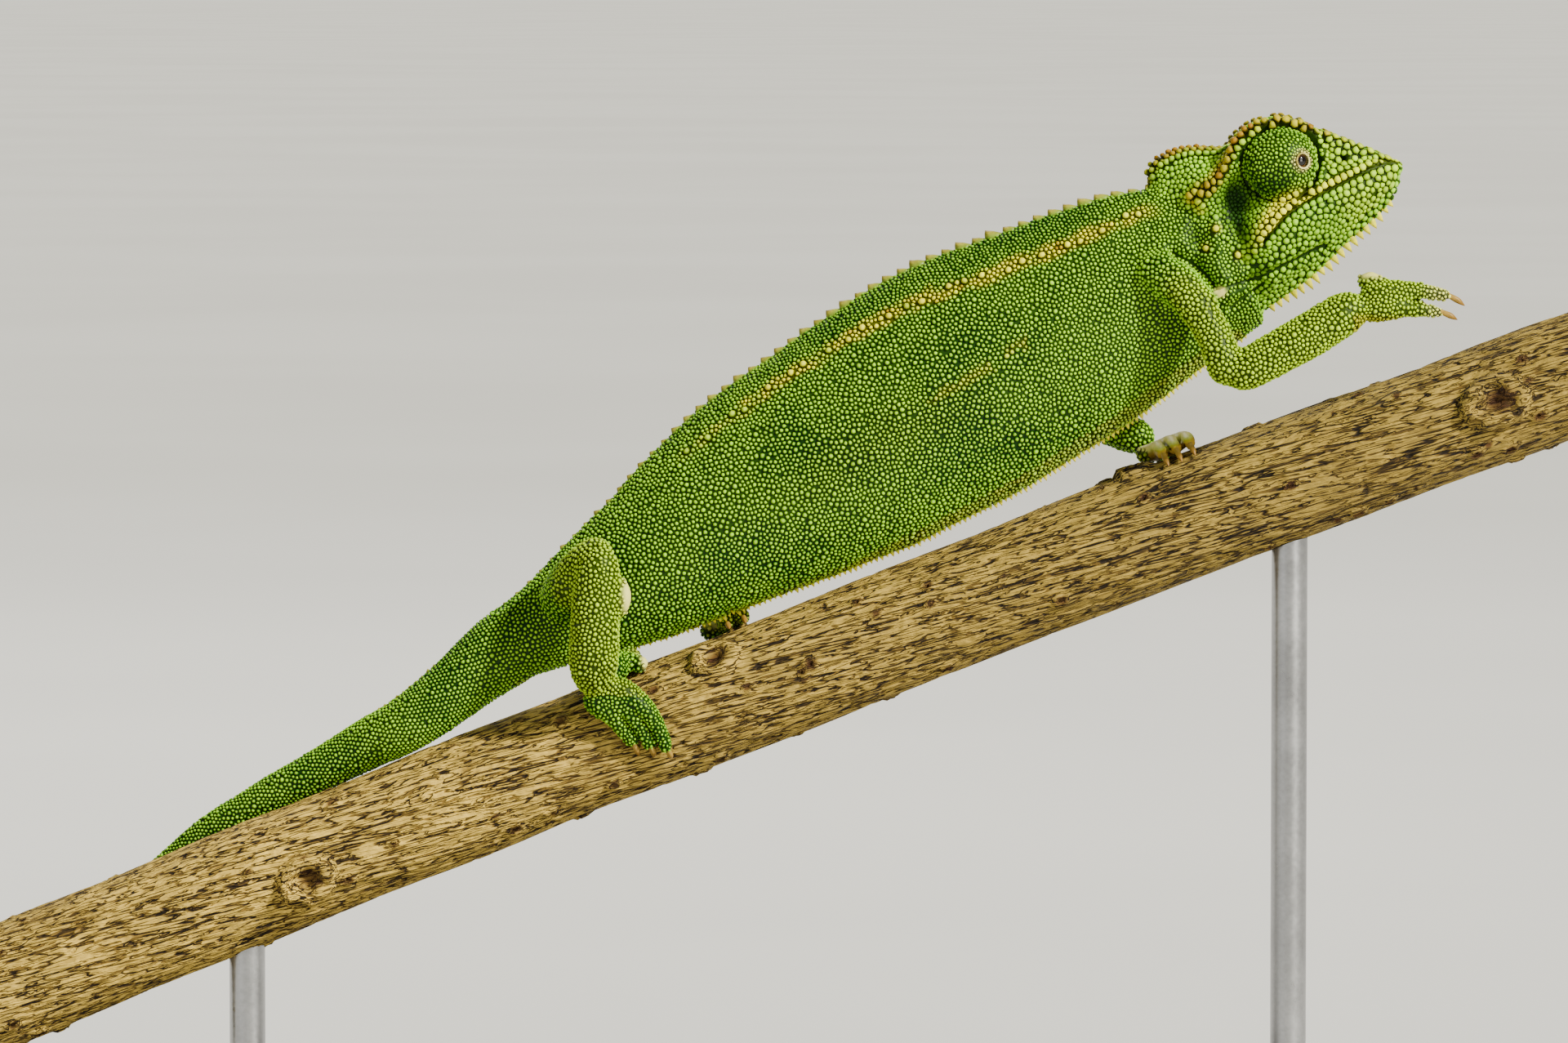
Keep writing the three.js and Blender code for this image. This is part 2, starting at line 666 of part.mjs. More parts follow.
function add(group, name, solid, color, roughness = 0.65, metalness = 0) {
  const material = new THREE.MeshStandardMaterial({ color, roughness, metalness });
  const mesh = new THREE.Mesh(geometryOf(solid), material);
  mesh.name = name;
  group.add(mesh);
}

const nearPerch = branch(GAP);
const lids = { left: eyelid(1, GAP), right: eyelid(-1, GAP) };

// Head: the skull is parted behind the eyes into the head and the casque.
const openSkull = cut(skull(), [lids.left, lids.right]);
const forward = point(Math.cos(HEAD_TILT), 0, Math.sin(HEAD_TILT));
const parting = onHead(CASQUE_START, 0, 0).dot(forward);
add(specimen, "head", mainBody(openSkull.trimByPlane(forward.toArray(), parting)), GREEN);
const behind = forward.clone().negate();
add(specimen, "casque", mainBody(openSkull.trimByPlane(behind.toArray(), GAP - parting)), GREEN);
add(specimen, "lower_jaw", join([jaw(), ...throatSpines()]), GREEN);
for (const [name, side] of [["right", -1], ["left", 1]]) {
  add(specimen, `eyelid_${name}`, mainBody(cut(eyelid(side), [eyeball(side, GAP)])), SHADE_GREEN);
  add(specimen, `eye_${name}`, eyeball(side), 0x2a1a10, 0.1);
}

// Neck, trunk and tail.
const slack = 0.0018; // half a gap, as a share of the trunk's middle line
const headTools = [skull(GAP), jaw(GAP), lids.left, lids.right];
const neck = trunk(TRUNK_CUTS.shoulders + slack, TRUNK_CUTS.head, 0, 5);
add(specimen, "neck", mainBody(cut(neck, headTools)), GREEN);
const front = trunk(TRUNK_CUTS.waist + slack, TRUNK_CUTS.shoulders - slack, 0, 9);
add(specimen, "trunk_front", mainBody(cut(front, [skull(GAP)])), GREEN);
add(specimen, "trunk_rear", trunk(TRUNK_CUTS.hips, TRUNK_CUTS.waist - slack, 0, 10), GREEN);
for (let i = 0; i < TAIL_CUTS.length - 1; i++)
  add(specimen, `tail_${i + 1}`, mainBody(cut(tailLength(i), [nearPerch])), GREEN);

// Legs: each piece is cut back from what carries it.
const wholeTrunk = join([trunk(0, TRUNK_CUTS.head, GAP, 20), tailLength(0, GAP)]);
for (const [name, leg] of Object.entries(LEGS)) {
  const upperName = name.endsWith("fore") ? "upper_arm" : "thigh";
  const lowerName = name.endsWith("fore") ? "forearm" : "shank";
  const footName = name.endsWith("fore") ? "forefoot" : "hindfoot";
  const upper = legLength(leg.upper);
  const upperTool = legLength(leg.upper, GAP);
  add(specimen, `${upperName}_${name}`, mainBody(cut(upper, [wholeTrunk, ...headTools])), GREEN);

  const swelling = name === "right_hind" ? [ellipsoid(SHIN_PAD)] : [];
  const lower = join([legLength(leg.lower), ...swelling]);
  const lowerTool = legLength(leg.lower, GAP);
  add(specimen, `${lowerName}_${name}`, mainBody(cut(lower, [upperTool, wholeTrunk, nearPerch])), GREEN);

  const carried = [lowerTool, nearPerch, wholeTrunk];
  const outer = cut(join(leg.outer.map((rows) => toe(rows))), carried);
  add(specimen, `${footName}_${name}_outer`, mainBody(outer), FOOT_GREEN);
  const outerTool = join(leg.outer.map((rows) => toe(rows, GAP)));
  const inner = join([...leg.inner.map((rows) => toe(rows)), ellipsoid(leg.pad)]);
  add(specimen, `${footName}_${name}_inner`, mainBody(cut(inner, [...carried, outerTool])), FOOT_GREEN);

  const toes = [...leg.outer, ...leg.inner];
  const toeTools = toes.map((rows) => toe(rows, GAP * 0.6));
  toes.forEach((rows, i) => {
    const made = mainBody(cut(claw(rows), [nearPerch, ...toeTools]));
    add(specimen, `claw_${name}_${i + 1}`, made, 0xb08a5a, 0.35);
  });
}

// Branch and stand.
add(specimen, "perch_branch", branch(), 0x8a6d3f, 0.85);
ROD_PLACES.forEach((x, i) => add(specimen, `stand_rod_${i + 1}`, rod(x, nearPerch), 0x3b3b3d, 0.35, 0.9));
add(model, "stand_base", base(), 0x2b2520, 0.45);

export default model;
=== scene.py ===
"""A life-size green chameleon that walks up a slanting branch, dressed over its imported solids.

The animal is laid out in millimetres around the middle of the branch, with +X the way it walks,
-Y its right side and +Z up. `in_frame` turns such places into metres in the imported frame.
"""

from __future__ import annotations

import functools
import itertools
import json
import logging
import math
from contextlib import contextmanager
from dataclasses import dataclass
from enum import Enum, IntEnum
from typing import Callable, Iterator, Sequence

import bmesh
import bpy
import numpy as np
from mathutils import Matrix, Vector
from mathutils.bvhtree import BVHTree
from mathutils.kdtree import KDTree

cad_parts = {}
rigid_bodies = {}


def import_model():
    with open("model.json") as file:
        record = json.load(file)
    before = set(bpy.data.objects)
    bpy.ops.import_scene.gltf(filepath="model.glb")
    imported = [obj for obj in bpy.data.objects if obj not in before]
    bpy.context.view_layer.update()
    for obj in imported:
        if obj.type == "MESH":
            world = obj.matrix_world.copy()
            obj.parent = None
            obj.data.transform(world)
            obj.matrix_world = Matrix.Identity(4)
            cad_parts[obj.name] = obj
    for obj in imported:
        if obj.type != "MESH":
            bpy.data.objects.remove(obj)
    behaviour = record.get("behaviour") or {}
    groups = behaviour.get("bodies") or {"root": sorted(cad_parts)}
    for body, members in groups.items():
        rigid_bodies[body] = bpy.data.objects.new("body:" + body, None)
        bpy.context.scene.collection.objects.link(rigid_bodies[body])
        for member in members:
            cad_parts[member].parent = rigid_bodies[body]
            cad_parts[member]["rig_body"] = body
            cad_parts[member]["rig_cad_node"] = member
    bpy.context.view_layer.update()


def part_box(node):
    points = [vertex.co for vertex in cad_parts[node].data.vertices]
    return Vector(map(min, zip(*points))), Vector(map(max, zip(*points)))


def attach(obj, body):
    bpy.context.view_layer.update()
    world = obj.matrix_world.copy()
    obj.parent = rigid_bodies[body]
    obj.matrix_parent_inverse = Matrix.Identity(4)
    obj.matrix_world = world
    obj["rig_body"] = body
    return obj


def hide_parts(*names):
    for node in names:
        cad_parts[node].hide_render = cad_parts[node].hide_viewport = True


LOG = logging.getLogger("chameleon")
MM = 0.001
BASE_TO_PERCH = 67.0  # from the top of the stand's base up to the middle of the branch
COAT = 0.25  # how deep the scales are: the skin lies this far inside the solids
SEED = 1449
SHARP = math.radians(35)  # edges of the stand sharper than this stay sharp
MERGE = 0.00002  # points of a solid that are nearer than this, in metres, are one

Array = np.ndarray


# ------------------------------------------------------------------ numbers and curves


def unit(rows: Array) -> Array:
    """Rows of vectors at length one."""
    return rows / np.maximum(np.linalg.norm(rows, axis=-1, keepdims=True), 1e-12)


def smoothstep(low: float, high: float, x: Array) -> Array:
    """A soft step from 0 at `low` to 1 at `high`."""
    t = np.clip((x - low) / (high - low), 0.0, 1.0)
    return t * t * (3.0 - 2.0 * t)


def bump(distance: Array, width: float) -> Array:
    """A round hump, 1 at no distance and 0 from `width` on."""
    return 1.0 - smoothstep(0.0, width, np.abs(distance))


def pool(x: Array, y: Array, at: tuple[float, float], half: tuple[float, float]) -> Array:
    """A round hump over two measures, 1 in its middle."""
    return np.exp(-(((x - at[0]) / half[0]) ** 2) - ((y - at[1]) / half[1]) ** 2)


def most(*rows: Array) -> Array:
    """The largest of several arrays at each of their places."""
    return np.maximum.reduce(rows)


def turns(count: int) -> Array:
    """Even turns round a ring, in radians."""
    return np.arange(count) * 2 * np.pi / count


def run_of(line: Array) -> Array:
    """How far along a line of places each place is."""
    return np.concatenate([[0], np.cumsum(np.linalg.norm(np.diff(line, axis=0), axis=1))])


def noise(points: Array, seed: int = 0) -> Array:
    """Smooth random values over space.

    Args:
        points: (n, 3) places, where one unit is the size of a feature.
        seed: picks one of many patterns.

    Returns:
        (n,) values from -1 to 1.
    """
    cell = np.floor(points).astype(np.int64)
    share = points - cell
    share = share * share * (3.0 - 2.0 * share)
    total = np.zeros(len(points))
    for corner in np.ndindex(2, 2, 2):
        at = cell + np.array(corner)
        mixed = at[:, 0] * 73856093 ^ at[:, 1] * 19349663 ^ at[:, 2] * 83492791 ^ (seed + 7) * 2654435761
        mixed = (mixed ^ (mixed >> 13)) * 1274126177
        value = ((mixed ^ (mixed >> 16)) & 0xFFFFFF) / 0x7FFFFF - 1.0
        weight = np.prod(np.where(np.array(corner) == 1, share, 1.0 - share), axis=1)
        total += value * weight
    return total


class Profile:
    """A smooth function through pairs of x and value, level beyond both ends."""

    def __init__(self, *pairs: tuple[float, float]) -> None:
        """Keeps the pairs with the slope at each.

        Args:
            pairs: x and value, in any order.
        """
        rows = np.array(sorted(pairs), float)
        self.x, self.y = rows.T
        before = np.maximum(np.arange(len(rows)) - 1, 0)
        after = np.minimum(np.arange(len(rows)) + 1, len(rows) - 1)
        self.slope = (self.y[after] - self.y[before]) / (self.x[after] - self.x[before])

    def __call__(self, x: Array | float) -> Array:
        """The function's values at x."""
        x = np.clip(np.asarray(x, float), self.x[0], self.x[-1])
        i = np.clip(np.searchsorted(self.x, x, side="right") - 1, 0, len(self.x) - 2)
        width = self.x[i + 1] - self.x[i]
        t = (x - self.x[i]) / width
        rise = t * t * (3 - 2 * t)
        bend = self.slope[i] * width * t * (1 - t) ** 2 - self.slope[i + 1] * width * t * t * (1 - t)
        return self.y[i] + (self.y[i + 1] - self.y[i]) * rise + bend

    def steepness(self, x: Array, step: float = 0.05) -> Array:
        """How fast the function rises at x."""
        return (self(x + step) - self(x - step)) / (2 * step)


class Track:
    """A smooth line through rows of numbers, read by a share of its rows from 0 to 1."""

    def __init__(self, rows: Sequence, closed: bool = False) -> None:
        """Keeps the rows.

        Args:
            rows: (n, k) places, or sizes, that the line passes through.
            closed: whether it runs from its last row back to its first.
        """
        self.rows = np.array(rows, float)
        self.closed = closed

    def at(self, t: Array | float) -> Array:
        """The line's places at shares t, as rows."""
        t = np.atleast_1d(np.asarray(t, float))
        rows, n = self.rows, len(self.rows)
        spans = n if self.closed else n - 1
        at = np.clip(t, 0.0, 1.0) * spans
        i = np.minimum(np.floor(at).astype(int), spans - 1)
        w = (at - i)[:, None]
        if self.closed:
            p0, p1, p2, p3 = (rows[(i + k) % n] for k in (-1, 0, 1, 2))
        else:
            longer = np.vstack([2 * rows[0] - rows[1], rows, 2 * rows[-1] - rows[-2]])
            p0, p1, p2, p3 = (longer[i + k] for k in (0, 1, 2, 3))
        pairs = ((p0, p1), (p1, p2), (p2, p3))
        d0, d1, d2 = (np.maximum(np.linalg.norm(b - a, axis=1) ** 0.5, 1e-4)[:, None] for a, b in pairs)
        out = ((p1 - p0) / d0 - (p2 - p0) / (d0 + d1) + (p2 - p1) / d1) * d1
        into = ((p2 - p1) / d1 - (p3 - p1) / (d1 + d2) + (p3 - p2) / d2) * d1
        a = 2 * p1 - 2 * p2 + out + into
        b = -3 * p1 + 3 * p2 - 2 * out - into
        return ((a * w + b) * w + out) * w + p1

    def heading(self, t: Array | float) -> Array:
        """Unit vectors along the line at shares t."""
        t = np.atleast_1d(np.asarray(t, float))
        return unit(self.at(np.minimum(t + 1e-3, 1.0)) - self.at(np.maximum(t - 1e-3, 0.0)))

    def distance(self, points: Array, steps: int = 40) -> tuple[Array, Array]:
        """How far points are from the line, and the share of the line nearest to each."""
        shares = np.linspace(0, 1, steps)
        places = self.at(shares)
        gaps = np.linalg.norm(points[:, None, :] - places[None, :, :], axis=2)
        nearest = gaps.argmin(axis=1)
        return gaps[np.arange(len(points)), nearest], shares[nearest]


# ------------------------------------------------------------------ the branch's line


PERCH_LIFT = Profile(
    (-124, -2.31), (-100, -1.5), (-75, -0.84), (-50, -0.375), (-25, -0.09), (0, 0.02), (25, 0.18),
    (50, 0.38), (75, 0.1), (108, -0.4),
)


@dataclass(frozen=True)
class Perch:
    """The line and the thickness of the branch."""

    radius: float = 7.35
    slope: float = math.radians(21)
    low_end: float = -124.0
    high_end: float = 108.0

    @property
    def along(self) -> Array:
        """The unit vector up the branch."""
        return np.array([math.cos(self.slope), 0.0, math.sin(self.slope)])

    @property
    def up(self) -> Array:
        """The unit vector out of the top of the branch."""
        return np.array([-math.sin(self.slope), 0.0, math.cos(self.slope)])

    def middle(self, s: Array | float) -> Array:
        """Places on the branch's middle line, s along it."""
        s = np.asarray(s, float)[..., None]
        return self.along * s + self.up * PERCH_LIFT(s)

    def outward(self, angle: Array | float) -> Array:
        """Directions out of the bark: 0 degrees is its top, and 90 the animal's left."""
        a = np.radians(np.asarray(angle, float))[..., None]
        return self.up * np.cos(a) + np.array([0.0, 1.0, 0.0]) * np.sin(a)

    def on(self, s: Array | float, angle: Array | float, height: Array | float) -> Array:
        """Places `height` over the bark, s along the branch and `angle` round it."""
        reach = self.radius + np.asarray(height, float)
        return self.middle(s) + self.outward(angle) * np.asarray(reach)[..., None]

    def height(self, points: Array) -> Array:
        """How far points are from the bark."""
        return np.linalg.norm(points - self.middle(points @ self.along), axis=1) - self.radius

    def across(self, angle: Array, centre: float) -> Array:
        """How far round the bark angles are from one angle, in millimetres."""
        return ((angle - centre + 180) % 360 - 180) * math.pi / 180 * self.radius


PERCH = Perch()


# ------------------------------------------------------------------ the animal's shape


class Region(Enum):
    """The parts of the coat that are made as pieces of their own."""

    HEAD = "head"
    LIDS = "eyelids"
    TRUNK = "trunk"
    TAIL = "tail"
    FORELEGS = "forelegs"
    HINDLEGS = "hindlegs"


Surface = Callable[[Array, Array], Array]


@dataclass
class Flesh:
    """One closed form of the body, with the size of the scales on it.

    Attributes:
        name: what a person would call it.
        region: the part of the coat that its scales go in.
        surface: gives places from shares along it and angles round it.
        grain: gives half a scale's width from shares along it.
        rings: how many rings its own mesh has.
        around: how many points each ring has.
    """

    name: str
    region: Region
    surface: Surface
    grain: Callable[[Array], Array]
    rings: int = 24
    around: int = 24

    def samples(self) -> tuple[Array, Array]:
        """The share along it and the angle round it of every point of its mesh."""
        return np.repeat(np.linspace(0, 1, self.rings), self.around), np.tile(turns(self.around), self.rings)

    def mesh(self) -> tuple[Array, list[tuple[int, ...]]]:
        """Its closed mesh, as places and faces."""
        n = self.around
        places = self.surface(*self.samples())
        first, top = len(places), (self.rings - 1) * n
        sides = [(a, (a + 1) % n) for a in range(n)]
        faces = [(r + a, r + b, r + n + b, r + n + a) for r in range(0, top, n) for a, b in sides]
        for a, b in sides:
            faces += [(first, b, a), (first + 1, top + a, top + b)]
        return np.vstack([places, places[:n].mean(0), places[-n:].mean(0)]), faces


def swept(
    middles: Track,
    halves: Track,
    up: Callable[[Array, Array], Array],
    inset: float = COAT,
    cap: float = 0.18,
    keel: bool = False,
) -> Surface:
    """The surface of a limb or length of body along a line.

    Args:
        middles: the line of its middles.
        halves: half its width and half its depth along the line.
        up: gives the direction that depth is measured in, from shares and middles.
        inset: how far the surface lies inside the solid.
        cap: the share of each end that is rounded off.
        keel: whether it is pinched towards the back and the belly, as a trunk is.

    Returns:
        The surface.
    """

    def surface(t: Array, angle: Array) -> Array:
        """Places on the limb's surface."""
        t, angle = np.asarray(t, float), np.asarray(angle, float)
        middle, along = middles.at(t), middles.heading(t)
        side = unit(np.cross(up(t, middle), along))
        lift = np.cross(along, side)
        wide, deep = halves.at(t).T
        if cap > 0:
            end = np.minimum(np.minimum(t, 1 - t) / cap, 1.0)
            shrink = np.sqrt(1 - (1 - end) ** 2 * 0.9)
            wide, deep = wide * shrink, deep * shrink
        s, c = np.sin(angle), np.cos(angle)
        if keel:
            s = s * np.abs(s) ** 0.3 * (1 - 0.1 * c)
        wide = np.maximum(wide - inset, 0.15)
        deep = np.maximum(deep - inset, 0.15)
        return middle + side * (s * wide)[:, None] + lift * (c * deep)[:, None]

    return surface


def fixed_up(*direction: float) -> Callable[[Array, Array], Array]:
    """The same up direction everywhere."""
    return lambda t, middle: np.broadcast_to(np.array(direction, float), middle.shape)


@dataclass(frozen=True)
class Head:
    """The head's own place, tilt and sections, measured forward of the eyes and up from them."""

    eye_x: float = 60.5
    eye_z: float = 62.7
    tilt: float = math.radians(22)
    skull_ends: tuple[float, float] = (-15.8, 13.7)
    jaw_ends: tuple[float, float] = (-9.6, 12.9)
    lid_out: float = 4.2
    lid_half: tuple[float, float, float] = (4.6, 3.6, 4.3)
    gaze: tuple[float, float] = (2.6, -0.6)
    refined: tuple[float, float] = (-13.5, -10.5)

    def place(self, forward: Array, out: Array, up: Array) -> Array:
        """Places from the head's own measures."""
        forward, out, up = np.broadcast_arrays(*(np.asarray(v, float) for v in (forward, out, up)))
        c, s = math.cos(self.tilt), math.sin(self.tilt)
        return np.stack([self.eye_x + forward * c - up * s, out, self.eye_z + forward * s + up * c], axis=-1)

    def measures(self, points: Array) -> tuple[Array, Array, Array]:
        """How far points are forward of the eyes, out from the middle and up from the eyes."""
        c, s = math.cos(self.tilt), math.sin(self.tilt)
        x, z = points[:, 0] - self.eye_x, points[:, 2] - self.eye_z
        return x * c + z * s, points[:, 1], -x * s + z * c

    def ring(self, forward: Array, up: Array) -> Array:
        """How far out from the eye points are, 1 at the edge of its lid."""
        return np.hypot(forward / self.lid_half[0], up / self.lid_half[2])


HEAD = Head()
CROWN = Profile(
    (-15.8, 4.6), (-14.2, 6.1), (-11, 6.2), (-8.2, 5.3), (-5.5, 4), (0, 4.4), (4, 3.1), (8.7, -1),
    (11.7, -3.9), (13.7, -5.3),
)
CREST_UP = Profile(
    (-15.8, 3.6), (-13, 0.4), (-10, 0.5), (-6.6, 2.1), (-4.4, 4.6), (-1.6, 5.7), (1.2, 5.4), (4, 3.7),
    (7.2, 0.9), (10.3, -2.1), (13.7, -5.4),
)
CREST_OUT = Profile(
    (-15.8, 0.5), (-13, 2.9), (-10, 4.8), (-6.6, 4.7), (-1.6, 4.4), (4, 3.5), (7.2, 2.6), (10.3, 1.9),
    (13.7, 0.8),
)
TEMPLE_UP = Profile((-15.8, 2.6), (-12, -2), (-8, -3.4), (-4, -2), (0, -1), (5, -1.8), (10, -4), (13.7, -5.6))
TEMPLE_OUT = Profile((-15.8, 0.5), (-12, 3.1), (-8, 4.5), (-4, 4), (0, 3), (5, 3.4), (10, 2.3), (13.7, 0.9))
LIP_OUT = Profile(
    (-15.8, 0.5), (-12, 3.2), (-8, 5.6), (-4, 6.6), (-1, 6.2), (3, 5.3), (7, 4.3), (10, 3.3), (12.3, 2.1),
    (13.7, 1),
)
MOUTH = Profile(
    (-15.8, 2.2), (-12, -4), (-9, -8.4), (-6, -9.1), (-3.4, -7.6), (-1.6, -6.7), (0.2, -6.2), (4.6, -5.9),
    (9, -5.5), (11.4, -5.7), (13.7, -6.6),
)
LIPS = Profile(
    (-9, -10.6), (-5.9, -8.3), (-4.9, -7.5), (-3.9, -7), (-3, -6.45), (-1.7, -5.9), (0, -5.5),
    (2.1, -5.25), (4.6, -5.05), (9.4, -4.8), (11.5, -4.9), (12.6, -5.1), (13.7, -5.7),
)
JAW_OUT = Profile((-10, 3.6), (-7, 5), (-3, 5.9), (3, 5), (7, 4.1), (10, 3.1), (12, 1.9), (12.9, 0.7))
KEEL = Profile(
    (-10, -16.8), (-7.2, -16), (-2, -14.8), (1.9, -13.3), (5.8, -11.7), (9.2, -10.5), (11.3, -9.4),
    (12.4, -8.4), (12.9, -7.7),
)


def skull_half(f: float) -> list[tuple[float, float]]:
    """Half a section of the skull, from the crown down to the roof of the mouth, as out and up."""
    lip = float(LIP_OUT(f))
    mouth = float(MOUTH(f))
    return [
        (0.0, float(CROWN(f))),
        (float(CREST_OUT(f)), float(CREST_UP(f))),
        (float(TEMPLE_OUT(f)), float(TEMPLE_UP(f))),
        (lip, mouth + 1.3),
        (lip * 0.9, mouth - 0.1),
        (0.0, mouth - 0.1),
    ]


def jaw_half(f: float) -> list[tuple[float, float]]:
    """Half a section of the lower jaw and throat, from the mouth down to the keel."""
    top, keel, wide = float(MOUTH(f)) - 0.1, float(KEEL(f)), float(JAW_OUT(f))
    shares = ((0.94, 0.0), (1.0, 0.22), (0.72, 0.5), (0.3, 0.8), (0.0, 1.0))
    return [(0.0, top), *((wide * w, top + (keel - top) * d) for w, d in shares)]


def head_surface(ends: tuple[float, float], half: Callable[[float], list], inset: float = COAT) -> Surface:
    """A surface lofted through mirrored half sections along the head."""

    def surface(t: Array, angle: Array) -> Array:
        """Places on the head's surface."""
        forward = ends[0] + (ends[1] - ends[0]) * np.asarray(t, float)
        share = np.asarray(angle, float) / (2 * np.pi) % 1.0
        places = np.empty((len(forward), 3))
        for f in np.unique(forward):
            row = half(f)
            closed = [*row, *((-out, up) for out, up in row[-2:0:-1])]
            here = forward == f
            at = Track(closed, closed=True).at(share[here])
            centre = np.array([0.0, (row[0][1] + row[-1][1]) / 2])
            away = at - centre
            reach = np.linalg.norm(away, axis=1, keepdims=True)
            at = centre + away * np.maximum(1 - inset / np.maximum(reach, 1e-6), 0.2)
            places[here] = HEAD.place(f, at[:, 0], at[:, 1])
        return places

    return surface


def lid_surface(side: int, inset: float = COAT) -> Surface:
    """The surface of the cone of lid round one eye: t runs from its root out to its tip."""
    long, thick, tall = (h - inset for h in HEAD.lid_half)

    def surface(t: Array, angle: Array) -> Array:
        """Places on the lid."""
        polar = np.pi * (1 - np.asarray(t, float))
        ring = np.sin(polar)
        forward = long * ring * np.cos(angle)
        up = tall * ring * np.sin(angle)
        return HEAD.place(forward, side * (HEAD.lid_out + thick * np.cos(polar)), up)

    return surface


TRUNK_STATIONS = (
    (-33, 3.9, 3.9, 4.7),
    (-27.6, 6.9, 4.7, 6.1),
    (-17.2, 13, 6.3, 9.3),
    (-3.8, 21.7, 7.8, 12.8),
    (8.1, 28.3, 8.4, 14.6),
    (19.8, 35, 8.3, 15.3),
    (34.4, 42.4, 7.1, 14.1),
    (45.6, 48, 5.7, 12),
    (55.1, 51.9, 5, 9.6),
)
TAIL_ROOT = ((-27.6, 6.9, 3.6, 4.6), (-33, 3.9, 3.9, 4.7), (-39.8, -1.3, 3.5, 3.95))
TAIL_TURN = Profile(
    (-46, 2), (-55, 17), (-65, 28), (-74, 40), (-82, 58), (-90, 88), (-97, 108), (-104, 124), (-111, 172),
    (-118, 240),
)
TAIL_RADIUS = Profile(
    (-46, 3.4), (-55, 2.85), (-65, 2.4), (-74, 2), (-82, 1.7), (-92, 1.4), (-104, 1.05), (-118, 0.5),
)
TAIL_PLACES = np.arange(19) * -4.0 - 46.0
SOLID_GAP = 0.3


def grip(*rows: tuple[float, float, float, float]) -> Array:
    """A toe on the bark: rows of s, angle, height and radius become places and radii."""
    s, angle, height, radius = np.array(rows).T
    return np.column_stack([PERCH.on(s, angle, height), radius])


def free(*rows: tuple[float, float, float, float]) -> Array:
    """A length of limb in the air: rows of x, y, z and radius."""
    return np.array(rows, float)


@dataclass(frozen=True)
class Swelling:
    """A round pad of flesh."""

    at: tuple[float, float, float]
    half: tuple[float, float, float]
    out: tuple[float, float, float] = (0.0, 0.0, 1.0)


@dataclass(frozen=True)
class Leg:
    """One leg: its two lengths, the toes of its two bundles and its pads.

    A toe's rows end in the tip of its claw, which has no radius.
    """

    name: str
    region: Region
    upper: Array
    lower: Array
    outer: tuple[Array, ...]
    inner: tuple[Array, ...]
    pads: tuple[Swelling, ...]


RIGHT_FORE = Leg(
    "right_fore",
    Region.FORELEGS,
    free((43.5, -3.5, 51, 3), (49, -7.4, 46.8, 2.6), (52.3, -9.5, 41.6, 2.3), (54.2, -10.2, 36.2, 2.6)),
    free((53.8, -10.2, 36.5, 2.6), (61.5, -10.2, 40.8, 2.9), (70.4, -9.4, 46, 2.9)),
    (
        free(
            (70.2, -9.4, 46.5, 2.4), (75.8, -9.9, 47.4, 1.25), (80.2, -10, 46.9, 0.78), (82.6, -10, 45.6, 0)
        ),
        free(
            (70.2, -9.5, 45.2, 2.2), (75.4, -10.2, 45.2, 1.1),
            (79.3, -10.3, 44.9, 0.72), (81.7, -10.3, 43.9, 0),
        ),
    ),
    (
        free((70.6, -8, 46.4, 1.9), (74.4, -5.4, 47, 1.15), (77.6, -3.4, 47, 0.85), (79, -1.6, 46.2, 0)),
        free(
            (70.6, -7.9, 45.4, 1.9), (74.6, -5.1, 45.6, 1.15), (77.4, -2.7, 45.6, 0.85), (78.5, -1.1, 45, 0)
        ),
        free((70.6, -7.9, 44.9, 1.8), (74, -5.2, 44.9, 1.1), (76.6, -3, 44.9, 0.8), (77.6, -1.6, 44.5, 0)),
    ),
    (Swelling((71.2, -8.9, 48.6), (1.7, 1.3, 1.2)),),
)
LEFT_FORE = Leg(
    "left_fore",
    Region.FORELEGS,
    free((43.5, 3.5, 47.5, 2.9), (41, 8.8, 43.2, 2.7), (37, 11.4, 38.4, 2.5), (33.4, 12.2, 34.8, 2.5)),
    free((33.6, 12.2, 34.8, 2.6), (38.8, 10.6, 30.8, 2.6), (45.4, 8.2, 28, 2.3)),
    (
        grip((52.4, 46, 2.8, 1.9), (54.6, 72, 1.5, 1.15), (55, 98, 1.05, 0.85), (55, 116, 0.45, 0)),
        grip((52.6, 46, 2.7, 1.9), (56.4, 68, 1.5, 1.15), (57, 92, 1.05, 0.85), (57.2, 110, 0.45, 0)),
    ),
    (
        grip((52.2, 34, 2.5, 1.7), (52.8, 7, 1.8, 1.05), (53, -12, 1.25, 0.88), (53.1, -29, 0.45, 0)),
        grip((52.8, 34, 2.5, 1.7), (54.5, 7, 1.85, 1.05), (54.7, -12, 1.25, 0.88), (54.8, -30, 0.45, 0)),
        grip((53.4, 34, 2.4, 1.7), (56.2, 7, 1.7, 1.1), (56.5, -12, 1.25, 0.88), (56.6, -28, 0.45, 0)),
    ),
    (Swelling(tuple(PERCH.on(51.3, 18, 1.9)), (1.5, 1.3, 1.3)),),
)
